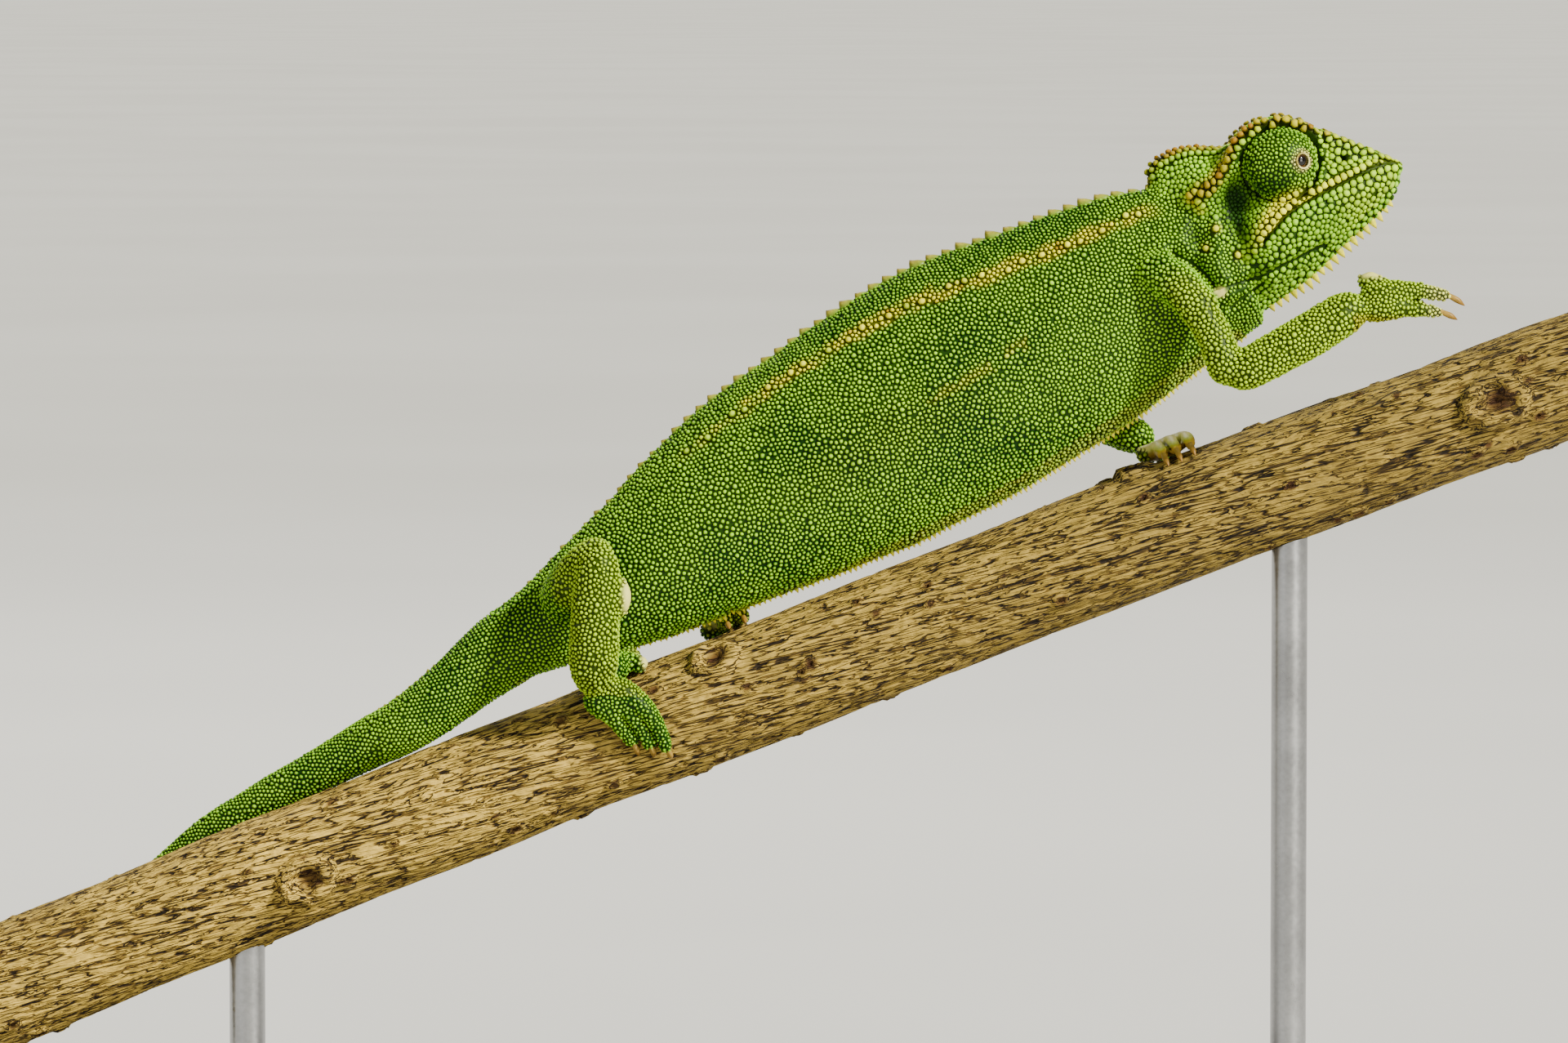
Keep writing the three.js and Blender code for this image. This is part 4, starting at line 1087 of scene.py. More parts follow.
@dataclass
class Skin:
    """One closed skin over the whole animal, which the scales stand on."""

    parts: list[Flesh]
    voxel: float = 0.455
    smoothing: int = 8
    filling: int = 14

    def build(self) -> bpy.types.Object:
        """Joins the forms, remeshes them as one, smooths and sculpts them."""
        places, faces, count = [], [], 0
        for part in self.parts:
            at, rows = part.mesh()
            places.append(at)
            faces += [tuple(i + count for i in row) for row in rows]
            count += len(at)
        self.piece = from_faces("skin", np.vstack(places), faces)
        apply_modifier(self.piece, "REMESH", mode="VOXEL", voxel_size=self.voxel * MM, adaptivity=0.0)
        self.refine_head()
        self.edges = np.empty(len(self.piece.data.edges) * 2, np.int32)
        self.piece.data.edges.foreach_get("vertices", self.edges)
        self.edges = self.edges.reshape(-1, 2)
        self.smooth()
        self.sculpt()
        self.piece.data.shade_smooth()
        return self.piece

    def refine_head(self) -> None:
        """Parts each face of the head in four, so that its folds can be fine."""
        mesh = self.piece.data
        forward, _, up = HEAD.measures(from_frame(vectors(mesh.polygons, "center")))
        for rows in (mesh.vertices, mesh.edges):
            rows.foreach_set("select", np.zeros(len(rows), bool))
        mesh.polygons.foreach_set("select", (forward > HEAD.refined[0]) & (up > HEAD.refined[1]))
        only(self.piece)
        bpy.ops.object.mode_set(mode="EDIT")
        bpy.ops.mesh.select_mode(type="FACE")
        bpy.ops.mesh.subdivide(number_cuts=1, quadcorner="INNERVERT")
        bpy.ops.mesh.select_mode(type="VERT")
        bpy.ops.object.mode_set(mode="OBJECT")

    def average(self, places: Array) -> Array:
        """The middle of each point's neighbours."""
        a, b = self.edges.T
        count = np.bincount(a, minlength=len(places)) + np.bincount(b, minlength=len(places))
        total = np.empty_like(places)
        for axis in range(3):
            total[:, axis] = np.bincount(a, places[b, axis], len(places))
            total[:, axis] += np.bincount(b, places[a, axis], len(places))
        return total / count[:, None]

    def smooth(self) -> None:
        """Takes the steps out of the skin, then fills the creases where limbs meet the body."""
        places = places_of(self.piece)
        for share in (0.5, -0.52) * self.smoothing:
            places = places + share * (self.average(places) - places)
        forward, _, up = HEAD.measures(places)
        head = smoothstep(-13, -9, forward) * smoothstep(-19, -16, up)
        loose = ((1 - head) * (1 - self.on_toes(places)))[:, None]
        for _ in range(self.filling):
            move_to(self.piece, places)
            facing = normals_of(self.piece)
            rise = np.sum((self.average(places) - places) * facing, axis=1, keepdims=True)
            places = places + facing * np.maximum(rise, 0) * 0.7 * loose
        move_to(self.piece, places)

    def on_toes(self, places: Array) -> Array:
        """How surely each point is on a toe, from 0 to 1."""
        sure = np.zeros(len(places))
        for leg in LEGS:
            for toe in (*leg.outer, *leg.inner):
                near, gap, share = self.by_toe(places, toe)
                now = (1 - smoothstep(1.6, 2.6, gap)) * smoothstep(0.15, 0.4, share)
                sure[near] = np.maximum(sure[near], now)
        return sure

    def by_toe(self, places: Array, toe: Array, least: float = 7.0) -> tuple[Array, Array, Array]:
        """Which points are near a toe, how far off its line, and the share of it nearest to each."""
        near = np.flatnonzero(np.all(np.abs(places - toe[:, :3].mean(axis=0)) < least, axis=1))
        return near, *Track(toe[:, :3]).distance(places[near])

    def between_toes(self, places: Array) -> Array:
        """How deep the grooves between neighbouring toes are."""
        depth = np.zeros(len(places))
        for leg in LEGS:
            for bundle in (leg.outer, leg.inner):
                for one, other in zip(bundle, bundle[1:]):
                    near, a, share = self.by_toe(places, one)
                    b, also = Track(other[:, :3]).distance(places[near])
                    groove = bump(a - b, 0.5) * (np.minimum(a, b) < 2.6)
                    groove = groove * smoothstep(0.25, 0.5, np.maximum(share, also))
                    depth[near] = np.maximum(depth[near], groove)
        return depth

    def sculpt(self) -> None:
        """Presses in the folds and draws out the swellings that the joined forms lack."""
        places, facing = places_of(self.piece), normals_of(self.piece)
        forward, out, up = HEAD.measures(places)
        side = np.abs(out)
        depth = np.zeros(len(places))
        head = (forward > -16) & (forward < 14.5) & (up > -18) & (places[:, 0] > NECK_X - 2)
        on_side = (side > 1.2) & (places[:, 0] > 40)
        ring = HEAD.ring(forward, up)
        outer = head * (side > 2.2)
        hump = lambda f, u, wide, tall: pool(forward, up, (f, u), (wide, tall)) * head * on_side
        depth -= 0.75 * bump(ring - 1.06, 0.085) * outer
        depth += 0.22 * bump(ring - 1.2, 0.09) * outer
        depth -= 0.3 * bump(ring - 1.33, 0.08) * outer * (forward > 0)
        lips = bump((up - LIPS(forward)) / np.hypot(1, LIPS.steepness(forward)), 0.42)
        lips = lips * head * (forward > -5.9) * (side > 0.4)
        depth -= (0.65 + 0.25 * smoothstep(1, -3, forward) - 0.35 * smoothstep(9, 12, forward)) * lips
        depth -= 1.6 * hump(-6.5, -1.5, 1.9, 2.2) + 1.0 * hump(-7.9, -6.2, 0.9, 2.4)
        depth += 0.5 * hump(-4.9, -5.8, 1.7, 1.6) + 0.3 * hump(-2.4, -5.9, 2.4, 0.9)
        ridge = np.abs(forward + 10.4 + (up + 4.4) * -0.27)
        depth += 0.7 * bump(ridge, 1.1) * bump(up + 5.0, 5.0) * head * on_side
        depth -= 0.75 * pool(forward + 12.9 - (up + 4.5) * 0.27, up, (0.0, -5.5), (0.9, 3.2)) * on_side
        depth -= 0.55 * hump(-8.6, 3.3, 1.2, 1.0)
        nostril = np.hypot((forward - NOSTRIL[0]) / 1.3, up - NOSTRIL[1])
        depth -= 1.0 * bump(nostril, 0.6) * head * (side > 1.2)
        depth -= 1.1 * bump(line_gap(places, *SHOULDER_FOLD), 0.95) * on_side
        depth += 0.35 * bump(line_gap(places, *SHOULDER_FOLD) - 1.5, 1.1) * on_side
        for fold in THROAT_FOLDS:
            depth -= 0.5 * bump(line_gap(places, *fold), 0.7) * on_side
            depth += 0.2 * bump(line_gap(places, *fold) - 1.0, 0.7) * on_side
        depth -= (0.95 + 0.5 * MARKINGS.gripping_toes(places)) * self.between_toes(places)
        depth += 0.16 * noise(places / 5.5, 21) * (1 - 0.5 * head)
        places = places + facing * depth[:, None]
        for gaze in GAZES:
            across, along = gaze.off(places)
            hollow = bump(across, 1.15) * (np.abs(along) < 2.0)
            places = places - gaze.line * hollow[:, None]
        move_to(self.piece, places)


@dataclass
class Chart:
    """Says for any place on the body which form it belongs to, and where on that form it is."""

    parts: list[Flesh]

    def __post_init__(self) -> None:
        """Samples every form."""
        rows = []
        for k, part in enumerate(self.parts):
            t, angle = part.samples()
            rows.append(np.column_stack([part.surface(t, angle), np.full(len(t), k), t, angle]))
        self.rows = np.vstack(rows)
        self.tree = tree_of(self.rows[:, :3])

    def find(self, points: Array) -> tuple[Array, Array, Array]:
        """The form, the share along it and the angle round it at each point."""
        nearest = np.array([self.tree.find(p)[1] for p in points])
        part, t, angle = self.rows[nearest, 3].astype(int), self.rows[nearest, 4], self.rows[nearest, 5]
        for k in np.unique(part):
            here = part == k
            form, step = self.parts[k], 1e-3
            low, high = np.clip(t[here] - step, 0, 1), np.clip(t[here] + step, 0, 1)
            at = form.surface(t[here], angle[here])
            by_t = (form.surface(high, angle[here]) - form.surface(low, angle[here])) / (high - low)[:, None]
            by_angle = (form.surface(t[here], angle[here] + step) - at) / step
            gap = points[here] - at
            dt = np.sum(gap * by_t, 1) / np.maximum(np.sum(by_t * by_t, 1), 1e-6)
            da = np.sum(gap * by_angle, 1) / np.maximum(np.sum(by_angle * by_angle, 1), 1e-6)
            t[here] = np.clip(t[here] + np.clip(dt, -0.02, 0.02), 0, 1)
            angle[here] = (angle[here] + np.clip(da, -0.1, 0.1)) % (2 * np.pi)
        return part, t, angle


# ------------------------------------------------------------------ the coat of scales


PATCH = 0.003  # how wide one scale is on the unwrap
GUTTER = 0.02  # how much of each side of an unwrap's cell stays empty
# single tall scales behind the eye: how far forward, how high, how wide and how tall each is
TUBERCLES = (
    (-9.7, 0.9, 1.3, 0.6), (-11.3, 0.1, 1.0, 0.5), (-8.9, 0.5, 0.8, 0.4), (-11.05, -1.5, 0.9, 0.42),
    (-10.3, -4.4, 1.2, 0.5), (-9.7, -5.6, 0.9, 0.4), (-9.0, -8.4, 1.1, 0.48), (-8.2, -9.2, 0.9, 0.4),
    (-12.3, -6.1, 1.1, 0.48), (-11.6, -6.6, 0.8, 0.36), (-7.8, 0.6, 0.9, 0.44), (-10.6, 1.7, 0.9, 0.44),
)


class Order(IntEnum):
    """Which seeds keep their places when two come too close."""

    PINNED = 0
    ROWS = 1
    FILL = 2


@dataclass
class Seeds:
    """The roots of scales: their places, the size of each, and how tall each stands."""

    places: Array
    spacing: Array
    tall: Array
    order: Array

    def take(self, keep: Array) -> "Seeds":
        """Only some of the seeds."""
        return Seeds(self.places[keep], self.spacing[keep], self.tall[keep], self.order[keep])

    def join(self, other: "Seeds") -> "Seeds":
        """These seeds and then the others."""
        names = ("places", "spacing", "tall", "order")
        return Seeds(*(np.concatenate([getattr(self, n), getattr(other, n)]) for n in names))


def some_seeds(places: Array, spacing: float | Array, tall: float | Array, order: Order) -> Seeds:
    """Seeds that share a size and a height."""
    n = len(places)
    full = lambda value: np.broadcast_to(np.asarray(value, float), (n,)).copy()
    return Seeds(np.asarray(places, float), full(spacing), full(tall), np.full(n, int(order)))


def joined(seeds: Sequence[Seeds]) -> Seeds:
    """Several lots of seeds, one after another."""
    return functools.reduce(Seeds.join, seeds)


@dataclass
class Coat:
    """Solid scales over the whole skin, in pieces by region.

    Attributes:
        skin: what they stand on.
        chart: tells the form and the place on it.
        sides: how many corners a scale has.
        per_piece: how many scales one piece may have.
        relaxing: how often crowded scales are pushed apart.
        vary: how much their sizes differ.
        bold: the share of them that are larger, and how much larger.
    """

    skin: Skin
    chart: Chart
    sides: int = 7
    per_piece: int = 7500
    relaxing: int = 3
    vary: float = 0.12
    bold: tuple[float, float] = (0.05, 1.3)

    def __post_init__(self) -> None:
        """Reads the skin's surface."""
        self.random = np.random.default_rng(SEED)
        self.ground = places_of(self.skin.piece)
        self.facing = normals_of(self.skin.piece)
        polygons = [tuple(p.vertices) for p in self.skin.piece.data.polygons]
        self.bvh = BVHTree.FromPolygons([tuple(p) for p in self.ground], polygons)
        self.triangles = np.array([(f[0], f[i], f[i + 1]) for f in polygons for i in range(1, len(f) - 1)])
        self.points = tree_of(self.ground)

    def on_skin(self, places: Array) -> Array:
        """Places moved onto the skin."""
        found = [self.bvh.find_nearest(p)[0] for p in places]
        return np.array([tuple(p) for p in found])

    def normals(self, places: Array) -> Array:
        """The way the skin faces at places, evened out over its nearest points."""
        near = np.array([[i for _, i, _ in self.points.find_n(p, 3)] for p in places])
        return unit(self.facing[near].sum(axis=1))

    def spacing(self, places: Array) -> Array:
        """How far apart scales stand at places on the body."""
        part, t, _ = self.chart.find(places)
        size = np.empty(len(places))
        for k in np.unique(part):
            here = part == k
            size[here] = 2 * self.chart.parts[k].grain(t[here])
        forward, out, up = HEAD.measures(places)
        hollow = pool(forward, up, (-6.9, -2.2), (2.3, 2.6)) * (np.abs(out) > 1.5)
        around = HEAD.ring(forward, up)
        orbit = bump(around - 1.2, 0.2) * (np.abs(out) > 2.0) * (places[:, 0] > 50)
        back = smoothstep(0.5, 2.0, places[:, 2] - FLANK_STRIPE(places[:, 0])) * (places[:, 0] < 46)
        return size * (1 - 0.32 * np.maximum(hollow, orbit)) * (1 - 0.1 * back)

    def from_side(self, line: Array, side: int) -> Array:
        """The outermost skin at places of a line, seen from one side of the body."""
        inward = Vector((0.0, -side, 0.0))
        found = [self.bvh.ray_cast(Vector((x, side * 20.0, z)), inward)[0] for x, _, z in line]
        return np.array([tuple(p) for p in found if p is not None]).reshape(-1, 3)

    def lip_row(self, off: float, pitch: float, ends: tuple[float, float], ease: float = 0.0) -> Array:
        """Places in the head's middle plane along the mouth's line, in even steps and square off it.

        Args:
            off: how far above the line they are.
            pitch: from one to the next.
            ends: how far forward the row starts and ends.
            ease: how far each may stray.

        Returns:
            (n, 2) how far forward and how high each is.
        """
        f = np.linspace(*ends, 400)
        slope = LIPS.steepness(f)
        line = np.column_stack([f - slope / np.hypot(1, slope) * off, LIPS(f) + off / np.hypot(1, slope)])
        run = run_of(line)
        at = np.arange(0, run[-1], pitch)
        row = np.column_stack([np.interp(at, run, line[:, 0]), np.interp(at, run, line[:, 1])])
        return row + self.random.normal(0, ease, row.shape)

    def creases(self) -> Seeds:
        """Close rows of bare roots, which keep scales off the mouth's line, the nostrils and the folds."""
        f, u = self.lip_row(0.0, 0.28, (13.3, -5.9)).T
        nostril = HEAD.place(np.array([7.1, 7.36, 7.62]), 0.0, np.array([-2.22, -2.32, -2.42]))
        front = f > 10.5
        lines = [(HEAD.place(f[at], 0.0, u[at]), width) for at, width in ((front, 0.28), (~front, 0.4))]
        lines.append((nostril, 0.95))
        for fold in (SHOULDER_FOLD, *THROAT_FOLDS):
            lines.append((Track([(x, 0.0, z) for x, z in fold]).at(np.linspace(0, 1, 36)), 0.26))
        both = [(self.from_side(line, side), width) for line, width in lines for side in (1, -1)]
        return joined([some_seeds(at, width, 0.0, Order.PINNED) for at, width in both])

    def along_mouth(self) -> Seeds:
        """Rows of scales on the jaw and the snout that follow the mouth's line."""
        rows = []
        for side in (1, -1):
            for sign, count, last in ((-1, 8, -5.9), (1, 4, -1.6)):
                for row in range(count):
                    ends = (12.2 - 0.43 * (row % 2), last)
                    f, u = self.lip_row(sign * (1.36 + 0.72 * row), 0.86, ends, 0.14).T
                    ring = HEAD.ring(f, u)
                    keep = (u > KEEL(f) + 1.4) & (u < CREST_UP(f) - 0.8) & ((ring > 1.25) | (sign < 0))
                    if keep.any():
                        at = self.from_side(HEAD.place(f[keep], 0.0, u[keep]), side)
                        rows.append((at, 0.8 - 0.035 * row))
        seeds = [some_seeds(at, size, 0.27, Order.ROWS) for at, size in rows]
        return joined(seeds)

    def pinned(self) -> Seeds:
        """The rows and single scales that stand out: crests, lips, eyelids' edges and tubercles."""
        rows: list[tuple[Array, float, float]] = []
        for gaze in GAZES:
            wide, tall = gaze.across
            for radius, count, size in ((1.2, 19, 0.36), (1.56, 22, 0.4), (1.94, 24, 0.44)):
                turn = (np.arange(count)[:, None] + 0.5 * (count % 2)) * 2 * np.pi / count
                turn = turn + self.random.normal(0, 0.05, turn.shape)
                reach = radius + self.random.normal(0, 0.05, turn.shape)
                ring = gaze.opening + reach * (np.cos(turn) * wide * 0.96 + np.sin(turn) * tall * 1.05)
                rows.append((ring, size, 0.24))
        for side in (1, -1):
            for ahead, behind, tall in ((12.6, 5.0, 0.32), (4.2, -12.6, 0.5)):
                f = np.arange(ahead, behind, -0.84)
                f = f + self.random.normal(0, 0.1, len(f))
                loose = self.random.normal(0, 0.14, len(f))
                rows.append((HEAD.place(f, side * CREST_OUT(f), CREST_UP(f) + loose), 1.08, tall))
            f = np.arange(10.2, -11.8, -0.86)
            f = f + self.random.normal(0, 0.12, len(f))
            for inward, size in ((0.78, 0.98), (-0.76, 0.94)):
                rows.append((HEAD.place(f, side * (CREST_OUT(f) + 0.5), CREST_UP(f) - inward), size, 0.4))
            x = np.arange(-11.5, 44.0, 2.4)
            x = x + 0.5 * np.sin(x * 1.7)
            row = np.stack([x, 0 * x, FLANK_STRIPE(x) + 0.35 * np.sin(x * 2.9)], axis=-1)
            rows.append((self.from_side(row, side), 1.08, 0.4))
            for off, pitch in ((0.6, 0.86), (-0.58, 0.92)):
                f, u = self.lip_row(off, pitch, (13.0, -5.8)).T
                rows.append((self.from_side(HEAD.place(f, 0.0, u), side), 0.9, 0.3))
            for forward, up, size, tall in TUBERCLES:
                rows.append((HEAD.place([forward], side * 5.0, up), size, tall))
        f = np.arange(-15.4, -5.2, 0.84)
        rows.append((HEAD.place(f, 0.0, CROWN(f)), 0.92, 0.52))
        for side in (1, -1):
            for shift, across, drop in ((0.4, 0.85, 0.2), (0.0, 1.7, 0.55)):
                rows.append((HEAD.place(f + shift, side * across, CROWN(f + shift) - drop), 0.86, 0.44))
        seeds = [some_seeds(self.on_skin(at), size, tall, Order.PINNED) for at, size, tall in rows]
        return joined(seeds)

    def in_rows(self) -> Seeds:
        """Scales in loose rings round the trunk and close rings round the tail."""
        places = []
        for name, ease in (("trunk", 0.16), ("tail", 0.07)):
            part = next(p for p in self.chart.parts if p.name == name)
            t, ring = 0.0, 0
            while t < 1:
                size = 2 * float(part.grain(np.array(t)))
                angle = np.linspace(0, 2 * np.pi, 73)
                line = part.surface(np.full(73, t), angle)
                run = run_of(line)
                count = max(int(run[-1] / size), 5)
                at = (np.arange(count) + 0.5 * (ring % 2)) / count * run[-1]
                turn = np.interp(at, run, angle) + self.random.normal(0, ease, count) * size / run[-1] * 6.3
                here = part.surface(np.full(count, t), turn)
                places.append(here + self.random.normal(0, ease * size, here.shape))
                ends = np.array([min(t + 0.002, 1.0), max(t - 0.002, 0.0)])
                ahead, back = part.surface(ends, np.full(2, np.pi / 2))
                speed = np.linalg.norm(ahead - back) / (ends[0] - ends[1])
                t += size * 0.9 / max(float(speed), 1.0)
                ring += 1
        rough = np.vstack(places)
        at = self.on_skin(rough)
        near = np.linalg.norm(at - rough, axis=1) < 1.2
        return some_seeds(at[near], self.spacing(at[near]), 0.26, Order.ROWS)

    def filling(self, spacing: Array, crowd: float = 8.0) -> Seeds:
        """Random places all over the skin, more than there is room for."""
        a, b, c = (self.ground[self.triangles[:, i]] for i in range(3))
        area = np.linalg.norm(np.cross(b - a, c - a), axis=1) / 2
        size = spacing[self.triangles[:, 0]]
        weight = area / size**2
        count = int(weight.sum() * crowd)
        pick = self.random.choice(len(area), count, p=weight / weight.sum())
        u, v = self.random.random((2, count))
        over = u + v > 1
        u[over], v[over] = 1 - u[over], 1 - v[over]
        at = a[pick] + u[:, None] * (b - a)[pick] + v[:, None] * (c - a)[pick]
        return some_seeds(at, size[pick], 0.26, Order.FILL)

    def thin(self, seeds: Seeds, share: tuple[float, float, float] = (0.6, 0.8, 0.8)) -> Seeds:
        """Drops each seed that stands too near one that comes before it."""
        cell = 0.5
        keys = map(tuple, np.floor(seeds.places / cell).astype(int).tolist())
        size, places = seeds.spacing, seeds.places.tolist()
        homes: dict[tuple[int, ...], list[int]] = {}
        keep = []

        def clash(i: int, j: int) -> bool:
            """Whether seed i stands too near seed j."""
            room = (size[i] + size[j]) * share[seeds.order[i]] / 2
            return math.dist(places[i], places[j]) < room

        for i, key in enumerate(keys):
            reach = 1 if size[i] * share[seeds.order[i]] <= cell else 2
            cells = itertools.product(*(range(k - reach, k + reach + 1) for k in key))
            if not any(clash(i, j) for at in cells for j in homes.get(at, ())):
                homes.setdefault(key, []).append(i)
                keep.append(i)
        return seeds.take(np.array(keep))

    def bare(self, places: Array) -> Array:
        """Where no scale stands: in the eyes' openings, the orbits' grooves, the nostrils and the bark."""
        forward, out, up = HEAD.measures(places)
        ring = HEAD.ring(forward, up)
        wide = 0.05 + 0.035 * np.maximum(smoothstep(-1, 2, forward), smoothstep(1, 3, up))
        groove = (np.abs(ring - 1.06) < wide) & (np.abs(out) > 2.2) & (np.abs(out) < 6.0) & (up > -5)
        nostril = (np.hypot(forward - NOSTRIL[0], up - NOSTRIL[1]) < 0.45) & (np.abs(out) > 1.2)
        none = groove | nostril
        for gaze in GAZES:
            across, along = gaze.off(places)
            none |= (across < 1.04) & (np.abs(along) < 2.5)
        none |= (MARKINGS.bald(places) > 0.6) | (self.skin.between_toes(places) > 0.74)
        return none | (PERCH.height(places) < 0.12)

    def neighbours(self, places: Array, count: int) -> Array:
        """The nearest seeds to each seed, without itself."""
        tree = tree_of(places)
        return np.array([[i for _, i, _ in tree.find_n(p, count + 1)][1:] for p in places])

    def relax(self, seeds: Seeds) -> Seeds:
        """Pushes crowded seeds apart along the skin."""
        for _ in range(self.relaxing):
            near = self.neighbours(seeds.places, 7)
            away = seeds.places[:, None, :] - seeds.places[near]
            gap = np.linalg.norm(away, axis=2)
            want = (seeds.spacing[:, None] + seeds.spacing[near]) / 2 * 1.12
            push = np.maximum(1 - gap / want, 0) * want * 0.34
            step = (away / np.maximum(gap, 1e-6)[:, :, None] * push[:, :, None]).sum(axis=1)
            step *= (seeds.order > Order.PINNED)[:, None]
            seeds.places = self.on_skin(seeds.places + step)
        return seeds

    def sow(self) -> Seeds:
        """All seeds of the coat, in their last places."""
        spacing = self.spacing(self.ground)
        lots = [self.creases(), self.pinned(), self.along_mouth(), self.in_rows(), self.filling(spacing)]
        seeds = joined(lots)
        vary = np.exp(self.random.normal(0, self.vary, len(seeds.spacing)))
        bold = self.random.random(len(seeds.spacing)) < self.bold[0]
        vary = np.where(bold, vary * self.bold[1], vary)
        seeds.spacing *= np.where(seeds.order > Order.PINNED, vary, 1.0)
        clear = lambda lot: lot.take((lot.tall == 0) | ~self.bare(lot.places))
        seeds = clear(self.relax(self.thin(clear(seeds))))
        LOG.info("coat: %d scales", np.count_nonzero(seeds.tall))
        return seeds

    def outlines(self, seeds: Seeds, lift: Array, turn: Array) -> tuple[Array, Array, Array]:
        """How far each scale reaches towards each of its sides before it meets its neighbours.

        Args:
            seeds: the scales' roots.
            lift: (n, 3) the way the skin faces at each.
            turn: (n,) where each scale's first corner is.

        Returns:
            (n, sides) reaches, and two (n, 3) directions across each scale.
        """
        other_way = np.where(np.abs(lift[:, :1]) > 0.9, [[0.0, 0.0, 1.0]], [[1.0, 0.0, 0.0]])
        first = unit(np.cross(lift, other_way))
        second = np.cross(lift, first)
        near = self.neighbours(seeds.places, 15)
        away = seeds.places[near] - seeds.places[:, None, :]
        gap = np.linalg.norm(away, axis=2)
        own, other = seeds.spacing[:, None], seeds.spacing[near]
        half = gap * own / (own + other)
        bearing = np.arctan2(np.einsum("nkc,nc->nk", away, second), np.einsum("nkc,nc->nk", away, first))
        angle = turn[:, None] + turns(self.sides)
        cosine = np.cos(angle[:, :, None] - bearing[:, None, :])
        reach = np.where(cosine > 0.2, half[:, None, :] / np.maximum(cosine, 0.2), 9.0).min(axis=2)
        reach = np.clip(reach, 0.22 * own, 0.66 * own)
        return reach, first, second

    def build(self, finish: bpy.types.Material) -> list[bpy.types.Object]:
        """Makes every scale, in pieces of less than 200,000 triangles."""
        seeds = self.sow()
        k = self.sides
        lift = self.normals(seeds.places)
        turn = self.random.random(len(seeds.places)) * 2 * np.pi
        reach, first, second = self.outlines(seeds, lift, turn)
        grown = seeds.tall > 0
        seeds = seeds.take(grown)
        lift, turn, reach, first, second = (v[grown] for v in (lift, turn, reach, first, second))
        n = len(seeds.places)
        part, t, angle = self.chart.find(seeds.places)
        regions = np.array([list(Region).index(p.region) for p in self.chart.parts])[part]
        corner = turn[:, None] + turns(k)
        one_way, other_way = np.cos(corner)[:, :, None], np.sin(corner)[:, :, None]
        spoke = first[:, None, :] * one_way + second[:, None, :] * other_way
        width = reach.mean(axis=1)
        tall = seeds.tall * 1.12 * np.clip(width / 0.33, 0.6, 1.25) * self.random.uniform(0.88, 1.1, n)
        head = regions == list(Region).index(Region.HEAD)
        tall = np.where(head & (seeds.order > Order.PINNED), tall * 0.82, tall)
        shoulder = np.where(head, 0.84, np.where(regions == list(Region).index(Region.FORELEGS), 0.7, 0.62))
        at = seeds.places
        footing = np.where(head, 0.97, 0.9)
        foot = at[:, None, :] + spoke * (reach * footing[:, None])[:, :, None] - (lift * 0.1)[:, None, :]
        brow = at[:, None, :] + spoke * (reach * shoulder[:, None])[:, :, None]
        brow = brow + (lift * (tall * 0.74)[:, None])[:, None, :]
        top = at + lift * tall[:, None]
        marks = MARKINGS.read(at)
        tone = self.random.random(n)
        u, v = self.patches(part, t, angle)
        pieces = []
        for region in Region:
            chosen = np.flatnonzero(regions == list(Region).index(region))
            chosen = chosen[np.lexsort((t[chosen], part[chosen]))]
            lots = max(1, math.ceil(len(chosen) / self.per_piece))
            for i, lot in enumerate(np.array_split(chosen, lots)):
                name = f"scales_{region.value}" + (f"_{i + 1}" if lots > 1 else "")
                places = np.concatenate([foot[lot], brow[lot], top[lot][:, None, :]], axis=1)
                piece = self.piece(name, places)
                per = 2 * k + 1
                values = {key: np.repeat(value[lot], per) for key, value in marks.items()}
                values["tone"] = np.repeat(tone[lot], per)
                # rise runs from a scale's foot to its top; the skin's colours paint shade at its foot and a
                # highlight at its top from it.
                rise = np.concatenate([np.zeros(k), np.full(k, 0.8), [1.0]])
                values["rise"] = np.tile(rise, len(lot))
                write_marks(piece, values)
                self.unwrap(piece, u[lot], v[lot])
                pieces.append(settle(piece, finish))
        return pieces

    def piece(self, name: str, places: Array) -> bpy.types.Object:
        """One piece of the coat from its scales' corners."""
        k = self.sides
        a = np.arange(k)
        b = (a + 1) % k
        walls = np.column_stack([a, b, k + b, k + a]).ravel()
        roof = np.column_stack([k + a, k + b, np.full(k, 2 * k)]).ravel()
        one = np.concatenate([walls, roof, a[::-1]])
        sizes = np.concatenate([np.full(k, 4), np.full(k, 3), [k]])
        n = len(places)
        loops = (one[None, :] + (np.arange(n) * (2 * k + 1))[:, None]).ravel()
        return mesh_piece(name, places.reshape(-1, 3), loops, np.tile(sizes, n))

    def patches(self, part: Array, t: Array, angle: Array) -> tuple[Array, Array]:
        """Each scale's place on the unwrap: a region is a grid with a cell for each of its forms."""
        u, v = np.empty((2, len(part)))
        for region in Region:
            members = [i for i, p in enumerate(self.chart.parts) if p.region is region]
            cells = math.ceil(math.sqrt(len(members)))
            for place, k in enumerate(members):
                here = part == k
                column, row = place % cells, place // cells
                u[here] = (column + GUTTER + (1 - 2 * GUTTER) * t[here]) / cells
                v[here] = (row + GUTTER + (1 - 2 * GUTTER) * angle[here] / (2 * np.pi)) / cells
        return u, v

    def unwrap(self, piece: bpy.types.Object, u: Array, v: Array) -> None:
        """Gives each scale of a piece a small patch at its root's place."""
        k, half = self.sides, PATCH / 2
        around = turns(k)
        px = np.concatenate([np.cos(around), np.cos(around) * 0.6, [0.0]]) * half
        py = np.concatenate([np.sin(around), np.sin(around) * 0.6, [0.0]]) * half
        uv = np.stack([(u[:, None] + px), (v[:, None] + py)], axis=2).reshape(-1, 2)
        loops = np.empty(len(piece.data.loops), np.int32)
        piece.data.loops.foreach_get("vertex_index", loops)
        layer = piece.data.uv_layers.new(name="OFBake")
        layer.data.foreach_set("uv", np.clip(uv[loops], 0.0, 1.0).astype(np.float32).ravel())


